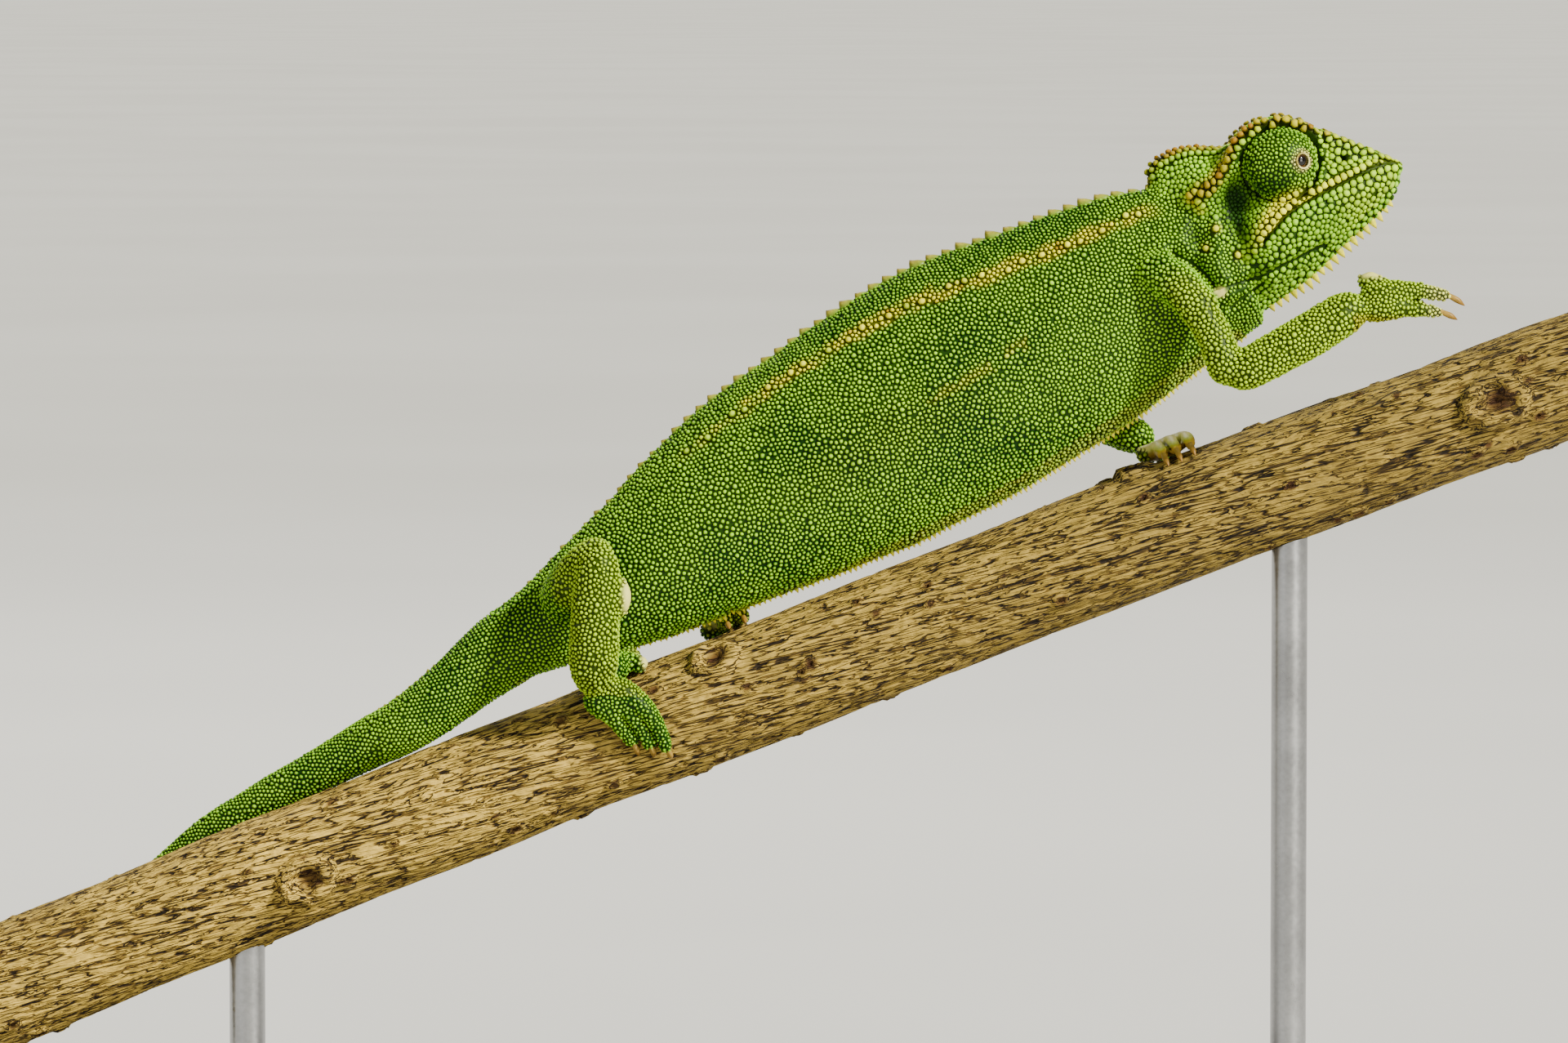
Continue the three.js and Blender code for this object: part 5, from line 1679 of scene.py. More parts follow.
# ------------------------------------------------------------------ finishes


Colour = tuple[float, float, float]
Socket = bpy.types.NodeSocket


def rgba(colour: Colour) -> tuple[float, float, float, float]:
    """A colour with full alpha."""
    return (*colour, 1.0)


class Board:
    """The nodes of one material or group, laid out and wired by short calls."""

    def __init__(self, tree: bpy.types.NodeTree) -> None:
        """Empties the tree."""
        self.tree = tree
        tree.nodes.clear()

    def node(self, kind: str, settings: dict[str, object] | None = None, **inputs: object) -> bpy.types.Node:
        """Adds a node.

        Args:
            kind: the node's type, without its common start.
            settings: the node's own properties.
            **inputs: a socket or a value for each input, by its name with _ for spaces, or iN by its place.

        Returns:
            The node.
        """
        node = self.tree.nodes.new("ShaderNode" + kind)
        for key, value in (settings or {}).items():
            setattr(node, key, value)
        for key, value in inputs.items():
            by_place = key[0] == "i" and key[1:].isdigit()
            self.wire(node.inputs[int(key[1:]) if by_place else key.replace("_", " ")], value)
        return node

    def wire(self, target: Socket, value: object) -> None:
        """Gives an input a socket, a colour or a number."""
        if isinstance(value, bpy.types.NodeSocket):
            self.tree.links.new(value, target)
        else:
            is_colour = isinstance(value, tuple) and target.type == "RGBA"
            target.default_value = rgba(value) if is_colour else value

    def mark(self, name: str) -> Socket:
        """A number that the mesh carries."""
        return self.node("Attribute", {"attribute_name": name}).outputs["Fac"]

    def place(self) -> Socket:
        """The place on the object, in metres."""
        return self.node("TexCoord").outputs["Object"]

    def noise(
        self, size: float, detail: float = 3.0, vector: Socket | None = None, rough: float = 0.5
    ) -> Socket:
        """Noise whose features are `size` metres across."""
        at = vector or self.place()
        node = self.node("TexNoise", Vector=at, Scale=1.0 / size, Detail=detail, Roughness=rough)
        return node.outputs["Fac"]

    def sum(self, a: Socket | float, b: Socket | float, kind: str = "ADD") -> Socket:
        """Two numbers put together by a Math node."""
        return self.node("Math", {"operation": kind}, i0=a, i1=b).outputs[0]

    def span(self, value: Socket, low: float, high: float, to: tuple[float, float] = (0.0, 1.0)) -> Socket:
        """A number's span moved onto another span, softly and held inside it."""
        kind = {"interpolation_type": "SMOOTHSTEP"}
        node = self.node("MapRange", kind, Value=value, i1=low, i2=high, i3=to[0], i4=to[1])
        return node.outputs["Result"]

    def mix(self, factor: Socket | float, a: Socket | Colour, b: Socket | Colour) -> Socket:
        """Two colours mixed."""
        node = self.tree.nodes.new("ShaderNodeMix")
        node.data_type, node.blend_type = "RGBA", "MIX"
        ends = [s for s in node.inputs if s.type == "RGBA"]
        for target, value in ((node.inputs[0], factor), (ends[0], a), (ends[1], b)):
            self.wire(target, value)
        return next(s for s in node.outputs if s.type == "RGBA")

    def group(self, tree: bpy.types.NodeTree, **inputs: object) -> bpy.types.Node:
        """Adds a group with its inputs."""
        node = self.tree.nodes.new("ShaderNodeGroup")
        node.node_tree = tree
        for key, value in inputs.items():
            self.wire(node.inputs[key], value)
        return node

    def surface(self, **inputs: object) -> None:
        """Ends a material with a Principled shader."""
        shader = self.node("BsdfPrincipled", None, **inputs)
        self.node("OutputMaterial", i0=shader.outputs[0])

    def finish(
        self, look: bpy.types.Node, height: Socket, deep: float, strength: float, **inputs: object
    ) -> None:
        """Ends a material with the colour and the roughness of a group, and with bumps.

        Args:
            look: the group.
            height: the height that the bumps follow.
            deep: how deep they are, in metres.
            strength: how much of them shows.
            **inputs: the shader's other inputs.
        """
        bump = self.node("Bump", Height=height, Distance=deep, Strength=strength)
        both = {"Base_Color": look.outputs["Colour"], "Roughness": look.outputs["Roughness"]}
        self.surface(**both, Normal=bump.outputs[0], **inputs)


def new_group(name: str, inputs: dict[str, str], outputs: dict[str, str]) -> tuple[bpy.types.NodeTree, Board]:
    """An empty shader group with named sockets.

    Args:
        name: the group's name.
        inputs: socket types by name.
        outputs: socket types by name.

    Returns:
        The group and its board.
    """
    tree = bpy.data.node_groups.new(name, "ShaderNodeTree")
    for sockets, way in ((inputs, "INPUT"), (outputs, "OUTPUT")):
        for key, kind in sockets.items():
            tree.interface.new_socket(name=key, in_out=way, socket_type="NodeSocket" + kind)
    return tree, Board(tree)


def ends_of(board: Board) -> tuple[bpy.types.Node, bpy.types.Node]:
    """A group's input and output nodes."""
    return board.tree.nodes.new("NodeGroupInput"), board.tree.nodes.new("NodeGroupOutput")


def fine_grain() -> bpy.types.NodeTree:
    """Fine unevenness that every hard surface here has: a mottled colour, a height and a roughness."""
    inputs = {"Colour": "Color", **dict.fromkeys(("Size", "Strength", "Roughness"), "Float")}
    outputs = {"Colour": "Color", "Height": "Float", "Roughness": "Float"}
    tree, board = new_group("fine_grain", inputs, outputs)
    start, end = ends_of(board)
    scale = board.sum(1.0, start.outputs["Size"], "DIVIDE")
    grain = board.node("TexNoise", Vector=board.place(), Scale=scale, Detail=4.0).outputs["Fac"]
    wide = board.node("TexNoise", Vector=board.place(), Scale=board.sum(scale, 0.13, "MULTIPLY"), Detail=2.0)
    both = board.sum(grain, wide.outputs["Fac"])
    shade = board.span(both, 0.6, 1.4, (0.72, 1.28))
    spread = board.sum(board.sum(shade, 1.0, "SUBTRACT"), start.outputs["Strength"], "MULTIPLY")
    bright = board.node("HueSaturation", Color=start.outputs["Colour"], Value=board.sum(spread, 1.0))
    rough = board.sum(start.outputs["Roughness"], board.sum(spread, 0.35, "MULTIPLY"))
    for name, socket in (("Colour", bright.outputs[0]), ("Height", grain), ("Roughness", rough)):
        board.tree.links.new(socket, end.inputs[name])
    return tree


@dataclass(frozen=True)
class Hide:
    """The colours of the living skin, with its painted highlight and painted shade, shared by the skin
    between the scales and the scales.
    """

    lime: Colour = (0.2, 0.5, 0.004)
    leaf: Colour = (0.03, 0.19, 0.003)
    # the darker green of painted shade, read from the deep mark
    deep: Colour = (0.014, 0.05, 0.003)
    yellow: Colour = (0.86, 0.84, 0.006)
    amber: Colour = (0.33, 0.16, 0.003)
    # a painted highlight on the top of each scale
    painted_highlight: Colour = (0.6, 0.95, 0.03)
    cream: Colour = (0.88, 0.78, 0.24)
    # painted shade in the gaps between the scales and down their walls
    painted_gap_shade: Colour = (0.002, 0.014, 0.001)

    def group(self) -> bpy.types.NodeTree:
        """A group that turns the body's marks into a colour and a roughness."""
        names = ("Lime", "Yellow", "Amber", "Pale", "Deep", "Tone", "Rise")
        outputs = {"Colour": "Color", "Roughness": "Float"}
        tree, board = new_group("living_hide", dict.fromkeys(names, "Float"), outputs)
        start, end = ends_of(board)
        mark = start.outputs
        patch = board.noise(0.0045, 3.0)
        lime = board.sum(mark["Lime"], board.span(patch, 0.3, 0.7, (-0.12, 0.12)))
        lime = board.sum(lime, board.span(mark["Tone"], 0.0, 1.0, (-0.28, 0.28)))
        colour = board.mix(board.span(lime, 0.0, 1.0), self.leaf, self.lime)
        # A painted highlight on each scale's top, fainter where painted shade lies.
        tip, in_shade = board.span(mark["Rise"], 0.74, 0.95), board.span(mark["Deep"], 0.0, 0.8, (0.5, 0.12))
        layers = {"Yellow": self.yellow, "Amber": self.amber, "Pale": self.cream, "Deep": self.deep}
        colour = board.mix(board.sum(tip, in_shade, "MULTIPLY"), colour, self.painted_highlight)
        for name, pigment in layers.items():
            colour = board.mix(mark[name], colour, pigment)
        bright = board.span(mark["Tone"], 0.0, 1.0, (0.82, 1.14))
        colour = board.node("HueSaturation", Color=colour, Value=bright).outputs[0]
        # Painted shade: each scale darkens down its walls to near black at its foot, and so does the bare
        # skin in the gaps.
        depth = board.span(mark["Rise"], 0.3, 0.93)
        deep = board.mix(0.08, self.painted_gap_shade, colour)
        colour = board.mix(depth, deep, colour)
        rough = board.span(mark["Tone"], 0.0, 1.0, (0.36, 0.5))
        board.tree.links.new(colour, end.inputs["Colour"])
        board.tree.links.new(rough, end.inputs["Roughness"])
        return tree

    def dress(self, name: str, group: bpy.types.NodeTree, bumpy: float, shine: float) -> bpy.types.Material:
        """A material that reads the marks of the mesh it is on.

        Args:
            name: the material's name.
            group: the living hide's group.
            bumpy: how deep its finest wrinkles are, in metres.
            shine: how strongly it mirrors the light.

        Returns:
            The material.
        """
        material, board = new_material(name)
        marks = {m.value.capitalize(): board.mark(m.value) for m in Mark}
        look = board.group(group, **marks, Tone=board.mark("tone"), Rise=board.mark("rise"))
        board.finish(look, board.noise(0.00016, 2.0), bumpy, 0.6, Specular_IOR_Level=shine)
        return material


def new_material(name: str) -> tuple[bpy.types.Material, Board]:
    """An empty node material and its board."""
    material = bpy.data.materials.new(name)
    material.use_nodes = True
    return material, Board(material.node_tree)


@dataclass(frozen=True)
class Grained:
    """A finish whose fine unevenness comes from the shared grain."""

    name: str
    colour: Colour
    second: Colour
    patch: float
    grain: float
    roughness: float
    metallic: float = 0.0
    strength: float = 1.0

    def material(self, group: bpy.types.NodeTree) -> bpy.types.Material:
        """The finish as a material."""
        material, board = new_material(self.name)
        mixed = board.mix(board.span(board.noise(self.patch), 0.35, 0.65), self.colour, self.second)
        numbers = {"Size": self.grain, "Strength": self.strength, "Roughness": self.roughness}
        look = board.group(group, Colour=mixed, **numbers)
        board.finish(look, look.outputs["Height"], 0.00002, 0.5, Metallic=self.metallic)
        return material


@dataclass(frozen=True)
class Horn:
    """Cones and claws: one colour at the root and another at the tip."""

    name: str
    root: Colour
    tip: Colour
    roughness: float = 0.35

    def material(self, group: bpy.types.NodeTree) -> bpy.types.Material:
        """The finish, which reads how near to its tip each point is."""
        material, board = new_material(self.name)
        mixed = board.mix(board.mark("rise"), self.root, self.tip)
        look = board.group(group, Colour=mixed, Size=0.0004, Strength=0.9, Roughness=self.roughness)
        board.finish(look, look.outputs["Height"], 0.00002, 0.5, Specular_IOR_Level=0.2)
        return material


@dataclass(frozen=True)
class Eyeball:
    """A glossy eye: a black pupil in a thin golden iris."""

    pupil: Colour = (0.003, 0.002, 0.002)
    iris: Colour = (0.16, 0.07, 0.018)
    white: Colour = (0.035, 0.018, 0.008)

    def material(self) -> bpy.types.Material:
        """The finish, which reads how far round the eye each point is from its gaze."""
        material, board = new_material("eye_gloss")
        off = board.mark("off_gaze")
        flecks = board.noise(0.00018, 3.0)
        gold = board.mix(board.span(flecks, 0.3, 0.7), self.iris, self.white)
        colour = board.mix(board.span(off, 0.5, 0.58), self.pupil, gold)
        colour = board.mix(board.span(off, 0.74, 0.86), colour, self.white)
        rough = board.span(flecks, 0.0, 1.0, (0.04, 0.09))
        gloss = {"Specular_IOR_Level": 0.3, "Coat_Weight": 0.4, "Coat_Roughness": 0.02}
        board.surface(Base_Color=colour, Roughness=rough, **gloss)
        return material


@dataclass(frozen=True)
class Bark:
    """Dry, finely wrinkled bark, with painted shade in its deepest wrinkles and a painted highlight on its
    ridges.
    """

    # a painted highlight on the ridges
    ridge: Colour = (0.62, 0.42, 0.075)
    body: Colour = (0.22, 0.13, 0.02)
    # painted shade low in the wrinkles
    painted_crack_shade: Colour = (0.02, 0.01, 0.003)
    rust: Colour = (0.06, 0.02, 0.005)
    wood: Colour = (0.46, 0.31, 0.12)

    def material(self, group: bpy.types.NodeTree) -> bpy.types.Material:
        """The finish, which reads how high each point stands and where the knots and cut ends are."""
        material, board = new_material("dry_bark")
        height = board.mark("height")
        turn = (0.0, GRAIN_SPIRAL - PERCH.slope, 0.0)
        drawn_out = {"Rotation": turn, "Scale": (11.0, 1.0, 1.0)}
        turned = board.node("Mapping", {"vector_type": "TEXTURE"}, Vector=board.place(), **drawn_out)
        fibres = board.noise(0.00036, 2.0, turned.outputs[0], 0.6)
        level = board.sum(board.sum(height, 0.5, "MULTIPLY"), board.span(fibres, 0.36, 0.64, (0.2, 0.5)))
        for size, wide, deep in ((0.00085, 0.05, -0.8), (0.0005, 0.055, -0.62)):
            waves = {"Scale": 1 / size, "Detail": 1.0, "Distortion": 0.35}
            waves = board.node("TexNoise", Vector=turned.outputs[0], **waves).outputs["Fac"]
            gap = board.sum(board.sum(waves, 0.5, "SUBTRACT"), 0.0, "ABSOLUTE")
            level = board.sum(level, board.span(gap, 0.0, wide, (deep, 0.1)))
        # Colour by height: near black low in the wrinkles as painted shade, pale on the ridges as a painted
        # highlight.
        colour = board.mix(board.span(level, 0.05, 0.42), self.painted_crack_shade, self.body)
        colour = board.mix(board.span(level, 0.4, 1.0), colour, self.ridge)
        stained = board.sum(board.span(board.noise(0.012), 0.5, 0.75), 0.3, "MULTIPLY")
        colour = board.mix(stained, colour, self.body)
        # Painted shade: the bark darkens towards the upper end of the branch.
        along = board.node("SeparateXYZ", Vector=board.place()).outputs["X"]
        painted_shade_rightwards = board.span(along, -0.06, 0.06, (1.0, 0.52))
        colour = board.node("HueSaturation", Color=colour, Value=painted_shade_rightwards).outputs[0]
        colour = board.mix(board.mark("rust"), colour, self.rust)
        flat = {"noise_dimensions": "1D"}
        rings = board.node("TexNoise", flat, W=board.mark("reach"), Scale=2.2, Detail=3.0)
        grown = board.mix(board.span(rings.outputs["Fac"], 0.4, 0.6), self.wood, self.body)
        colour = board.mix(board.mark("cut"), colour, grown)
        look = board.group(group, Colour=colour, Size=0.0006, Strength=0.9, Roughness=0.82)
        board.finish(look, level, 0.0004, 1.0, Specular_IOR_Level=0.25)
        return material


# ------------------------------------------------------------------ spines, eyes and claws


Path = Callable[[Array], tuple[Array, Array]]  # places and outward directions for shares of a row


@dataclass(frozen=True)
class Cones:
    """A row of small cones on the skin, as one joined piece.

    Attributes:
        name: the piece's name.
        pitch: from one cone to the next.
        length: how far a cone stands out, against the share of the row.
        width: half a cone's width at its root, against its length.
        lean: how far each tip is drawn towards the tail, against its length.
        stretch: how much longer than wide its root is.
    """

    name: str
    pitch: float
    length: Profile
    width: float
    lean: float
    stretch: float = 1.0

    def build(self, path: Path, finish: bpy.types.Material, seed: int) -> bpy.types.Object:
        """Stands cones along a path.

        Args:
            path: gives places and outward directions for shares of the row.
            finish: the cones' material.
            seed: for their small differences.

        Returns:
            The piece.
        """
        random = np.random.default_rng(seed)
        shares = np.linspace(0, 1, 2000)
        run = run_of(path(shares)[0])
        share = np.interp(np.arange(0.3, run[-1], self.pitch), run, shares)
        at, out = path(share)
        ahead = unit(path(np.minimum(share + 0.002, 1))[0] - path(np.maximum(share - 0.002, 0))[0])
        side = unit(np.cross(ahead, out))
        tall = self.length(share) * random.uniform(0.8, 1.15, len(share))
        wide = np.minimum(tall * self.width, self.pitch * 0.52)
        places, faces, rises = [], [], []
        sides = 7
        turn = turns(sides)
        for i in range(len(share)):
            first = len(places)
            for level, across in ((-0.25, 1.0), (0.22, 0.86), (0.62, 0.5)):
                back = ahead[i] * tall[i] * self.lean * max(level, 0) ** 1.5
                middle = at[i] + out[i] * tall[i] * level - back
                for a in turn:
                    spoke = ahead[i] * math.cos(a) * self.stretch + side[i] * math.sin(a) * 0.85
                    places.append(middle + spoke * wide[i] * across)
                    rises.append(max(level, 0.0))
            places.append(at[i] + (out[i] - ahead[i] * self.lean) * tall[i])
            rises.append(1.0)
            tip = first + 3 * sides
            for k in range(sides):
                n = (k + 1) % sides
                for low in (first, first + sides):
                    faces.append((low + k, low + n, low + sides + n, low + sides + k))
                faces.append((first + 2 * sides + k, first + 2 * sides + n, tip))
            faces.append(tuple(first + k for k in reversed(range(sides))))
        piece = from_faces(self.name, np.array(places), faces)
        write_marks(piece, {"rise": np.array(rises)})
        face_outwards(piece)
        return settle(piece, finish)


def along_form(coat: Coat, name: str, angle: float, ends: tuple[float, float]) -> Path:
    """A path on the skin along one side of a form.

    Args:
        coat: the coat, which knows the skin.
        name: the form.
        angle: where round the form the path runs.
        ends: the shares of the form that it runs between.

    Returns:
        A function that gives places and outward directions for shares of the path.
    """
    form = next(p for p in coat.chart.parts if p.name == name)

    def path(share: Array) -> tuple[Array, Array]:
        """Places on the skin and the way it faces there."""
        share = np.asarray(share, float)
        t = ends[0] + (ends[1] - ends[0]) * share
        out_of = form.surface(t, np.full(len(t), angle))
        across = form.surface(t, np.full(len(t), angle + np.pi))
        at = coat.on_skin(out_of)
        return at, unit(out_of - across)

    return path


@dataclass
class Spines:
    """The crests of cones along the back, the belly and the throat."""

    coat: Coat

    def build(self, pale: bpy.types.Material, green: bpy.types.Material) -> None:
        """Makes the rows."""
        back = Profile((0, 0.4), (0.15, 0.5), (0.6, 0.92), (0.95, 0.9), (1, 0.5))
        tail = Profile((0, 0.42), (0.4, 0.3), (1, 0.16))
        belly = Profile((0, 0.42), (0.2, 0.64), (0.8, 0.76), (1, 0.64))
        throat = Profile((0, 0.8), (0.12, 1.2), (0.6, 1.5), (0.85, 1.4), (1, 0.9))
        rows = (
            (Cones("spines_back", 2.0, back, 0.8, 0.6, 1.5), ("trunk", 0.0, (0.02, 0.93)), green),
            (Cones("spines_tail", 1.0, tail, 0.85, 0.5, 1.2), ("tail", 0.0, (0.1, 0.55)), green),
            (Cones("spines_belly", 0.7, belly, 0.46, 0.1), ("trunk", math.pi, (0.14, 0.97)), pale),
        )
        for seed, (cones, line, finish) in enumerate(rows, 11):
            cones.build(along_form(self.coat, *line), finish, seed)

        def keel(share: Array) -> tuple[Array, Array]:
            """Along the keel of the throat, from the chin back."""
            f = 11.2 - 18.8 * np.asarray(share, float)
            at = self.coat.on_skin(HEAD.place(f, 0.0, KEEL(f)))
            down = HEAD.place(KEEL.steepness(f, 0.4), 0.0, np.full(len(f), -1.0)) - HEAD.place(0.0, 0.0, 0.0)
            return at, unit(down)

        Cones("spines_throat", 1.08, throat, 0.46, -0.12).build(keel, pale, 14)


@dataclass
class Eyes:
    """The two eyes in their scaly turrets: a glossy ball and a pale rim round the opening."""

    radius: float = 1.15
    rim: float = 0.86
    rim_thick: float = 0.11

    def build(self, gloss: bpy.types.Material, lid: bpy.types.Material) -> None:
        """Makes both eyes."""
        for gaze, name in zip(GAZES, ("left", "right")):
            middle = gaze.opening - gaze.line * (self.radius + 0.18)
            sizes = {"segments": 40, "ring_count": 26, "radius": self.radius * MM}
            ball = primitive("uv_sphere", f"eyeball_{name}", **sizes)
            turn = Vector(gaze.line).to_track_quat("Z", "Y").to_matrix().to_4x4()
            ball.data.transform(Matrix.Translation(in_frame(middle)) @ turn)
            ball.data.shade_smooth()
            off = np.arccos(np.clip(unit(places_of(ball) - middle) @ gaze.line, -1, 1))
            write_marks(ball, {"off_gaze": off})
            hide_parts(f"eye_{name}")
            settle(ball, gloss)
            self.ring(gaze, name, lid)

    def ring(self, gaze: Gaze, name: str, lid: bpy.types.Material) -> None:
        """The pale rim: a torus pressed into an upright oval and drawn out in small scales."""
        sizes = {"major_radius": self.rim * MM, "minor_radius": self.rim_thick * MM}
        rim = primitive("torus", f"eye_rim_{name}", major_segments=72, minor_segments=14, **sizes)
        at = vectors(rim.data.vertices, "co") / MM
        around = np.arctan2(at[:, 1], at[:, 0])
        outward = np.hypot(at[:, 0], at[:, 1]) - self.rim
        beads = 0.05 * np.cos(around * 18) * (at[:, 2] > -0.1)
        reach = self.rim + outward * (1.0 + beads) + beads * 0.5
        wide, tall = gaze.across
        local = np.cos(around)[:, None] * wide * 1.02 + np.sin(around)[:, None] * tall * 1.08
        middle = gaze.opening - gaze.line * 0.12
        places = middle + local * reach[:, None] + gaze.line * (at[:, 2] * (1 + beads * 2))[:, None]
        move_to(rim, places)
        rim.data.shade_smooth()
        # Painted light: the rim is paler on one lower side and on its outward face, with a random mottle.
        lit = 0.5 + 0.5 * np.cos(around + 1.1) + 0.6 * noise(places / 0.35, 61) + at[:, 2] * 1.5
        write_marks(rim, {"rise": np.clip(lit, 0, 1)})
        settle(rim, lid)


@dataclass
class Claws:
    """Smooth claws, each grown out of its solid."""

    def build(self, finish: bpy.types.Material) -> None:
        """Makes the claw of every toe."""
        for leg in LEGS:
            for i, toe in enumerate((*leg.outer, *leg.inner)):
                self.claw(f"claw_{leg.name}_{i + 1}", toe, finish)

    def claw(self, node: str, toe: Array, finish: bpy.types.Material) -> None:
        """One claw from a merged and subdivided copy of its solid."""
        piece = bpy.data.objects[node].copy()
        piece.data = piece.data.copy()
        piece.name = f"nail_{node[5:]}"
        piece.data.name = piece.name
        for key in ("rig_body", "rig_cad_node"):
            del piece[key]
        piece.parent = None
        bpy.context.scene.collection.objects.link(piece)
        face_outwards(piece, MERGE)
        apply_modifier(piece, "SUBSURF", levels=2, render_levels=2)
        piece.data.shade_smooth()
        root, tip = toe[-2, :3], toe[-1, :3]
        line, length = unit(tip - root), np.linalg.norm(tip - root)
        places = places_of(piece)
        share = (places - root) @ line / length
        centre = places.mean(axis=0)
        across = (places - centre) - ((places - centre) @ line)[:, None] * line
        places += across * (0.75 - 0.6 * np.clip(share, 0, 1))[:, None]
        places -= line * (0.9 * (1 - smoothstep(0.05, 0.5, share)))[:, None]
        move_to(piece, places)
        write_marks(piece, {"rise": np.clip(share, 0, 1)})
        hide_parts(node)
        settle(piece, finish)


# ------------------------------------------------------------------ branch and stand


@dataclass(frozen=True)
class Knot:
    """Where a side shoot once stood."""

    s: float
    angle: float
    half: tuple[float, float]
    proud: float


GRAIN_SPIRAL = math.radians(7)  # how far the bark's wrinkles wind off the branch's own line
KNOTS = (
    Knot(-63.3, -102, (4.2, 3.4), 1.0),
    Knot(-7.2, -46, (3.6, 3.2), 0.7),
    Knot(93, -84, (4.8, 3.6), 1.1),
    Knot(48.9, -6, (2.8, 2.4), 0.7),
)


@dataclass
class Branch:
    """The cut length of branch, with wrinkled bark, knots, pores and cut ends."""

    rings: int = 480
    around: int = 200
    pores: int = 150

    def build(self, finish: bpy.types.Material) -> bpy.types.Object:
        """Makes the branch."""
        s = np.repeat(np.linspace(PERCH.low_end, PERCH.high_end, self.rings), self.around)
        angle = np.tile(np.arange(self.around) * 360 / self.around, self.rings)
        lift, height, rust = self.bark(s, angle)
        worn = np.minimum(s - PERCH.low_end, PERCH.high_end - s)
        lift -= 0.5 * bump(worn, 0.7)
        places = PERCH.on(s, angle, lift)
        ends, cut, reach = [places], [np.zeros(len(s))], [np.full(len(s), 7.0)]
        shrink = (0.9, 0.72, 0.5, 0.28)
        a = np.arange(self.around)
        b = (a + 1) % self.around
        quads = (np.arange(self.rings - 1) * self.around)[:, None]
        corners = [quads + a, quads + b, quads + self.around + b, quads + self.around + a]
        faces = [tuple(row) for row in np.stack(corners, axis=2).reshape(-1, 4)]
        total = len(s)
        for first, side in ((0, -1), ((self.rings - 1) * self.around, 1)):
            rim = places[first : first + self.around]
            middle = rim.mean(axis=0)
            previous = np.arange(first, first + self.around)
            for share in shrink:
                uneven = PERCH.along * side * 0.06 * noise(rim * share * 2, 41)[:, None]
                ends.append(middle + (rim - middle) * share + uneven)
                cut.append(np.ones(self.around))
                reach.append(np.full(self.around, 7.0 * share))
                new = np.arange(total, total + self.around)
                rows = np.column_stack([previous[a], previous[b], new[b], new[a]])
                faces += [tuple(row[:: -1 if side < 0 else 1]) for row in rows]
                previous = new
                total += self.around
            ends.append(middle[None, :])
            cut.append(np.ones(1))
            reach.append(np.zeros(1))
            faces += [(previous[i], previous[j], total)[:: -1 if side < 0 else 1] for i, j in zip(a, b)]
            total += 1
        everything = np.vstack(ends)
        extra = len(everything) - len(s)
        piece = from_faces("branch_bark", everything, faces)
        marks = {"height": [height, np.full(extra, 0.5)], "rust": [rust, np.zeros(extra)]}
        marks.update(cut=cut, reach=reach)
        write_marks(piece, {key: np.concatenate(lots) for key, lots in marks.items()})
        face_outwards(piece)
        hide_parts("perch_branch")
        return settle(piece, finish)

    def bark(self, s: Array, angle: Array) -> tuple[Array, Array, Array]:
        """How high the bark stands, how high its ridges are from 0 to 1, and where it is rust brown."""
        a = np.radians(angle)
        girth = PERCH.radius
        wander = 0.7 * noise(np.column_stack([s / 9, np.cos(a) * 1.2, np.sin(a) * 1.2]), 51)
        wound = a + wander * 0.12 + s * math.tan(GRAIN_SPIRAL) / girth
        ring = np.column_stack([np.cos(wound), np.sin(wound)]) * girth
        height = np.ones(len(s))
        cracks = ((0.75, 8.0, 0.28, 52), (0.5, 9.0, 0.36, 53), (1.6, 8.0, 0.14, 54))
        for size, stretch, weight, seed in cracks:
            at = np.column_stack([s / (size * stretch), ring / size])
            at += 0.3 * noise(np.column_stack([s / 4, ring / 1.5]), seed + 10)[:, None]
            height -= weight * (1 - smoothstep(0.0, 0.2, np.abs(noise(at, seed))))
        height = np.clip(height, 0, 1)
        lift = 0.42 * (height - 0.85) + 0.22 * noise(np.column_stack([s / 14, ring / 6]), 55)
        rust = np.zeros(len(s))
        height, rust = self.knots(s, angle, ring, lift, height, rust)
        self.dig_pores(s, angle, lift, rust)
        return lift, height, rust

    def knots(
        self, s: Array, angle: Array, ring: Array, lift: Array, height: Array, rust: Array
    ) -> tuple[Array, Array]:
        """Raises the knots' rims in `lift`, sinks their middles, and gives new heights and rust."""
        for knot in KNOTS:
            along = (s - knot.s) / knot.half[0]
            across = PERCH.across(angle, knot.angle) / knot.half[1]
            away = np.hypot(along, across)
            ragged = away + 0.16 * noise(np.column_stack([s / 1.2, ring / 1.2]), 56)
            dome = knot.proud * np.sqrt(np.clip(1 - away**2, 0, 1)) * 0.8
            lip = knot.proud * 0.6 * bump(ragged - 0.68, 0.24) * (1 - 0.6 * np.clip(along, -1, 1))
            pit = -1.1 * min(knot.proud + 0.2, 1.1) * (1 - smoothstep(0.12, 0.5, ragged))
            lift += dome + lip + pit
            knotted = np.clip(height * 0.6 + 0.5 * bump(ragged - 0.68, 0.3), 0, 1)
            height = np.where(away < 1.0, knotted, height)
            rust = np.maximum(rust, 0.85 * (1 - smoothstep(0.2, 0.55, np.hypot(along - 0.12, across))))
        return height, rust

    def dig_pores(self, s: Array, angle: Array, lift: Array, rust: Array) -> None:
        """Adds small rusty pores with raised rims to `lift` and `rust`."""
        random = np.random.default_rng(SEED + 1)
        for _ in range(self.pores):
            at, turn = random.uniform(PERCH.low_end + 2, PERCH.high_end - 2), random.uniform(0, 360)
            size = random.uniform(0.32, 0.8)
            near = np.abs(s - at) < 2.5 * size
            across = PERCH.across(angle[near], turn)
            away = np.hypot((s[near] - at) / 1.3, across) / size
            lift[near] += size * (0.5 * bump(away - 0.8, 0.6) - 0.7 * bump(away, 0.5))
            rust[near] = np.maximum(rust[near], 0.9 * (1 - smoothstep(0.5, 1.1, away)))


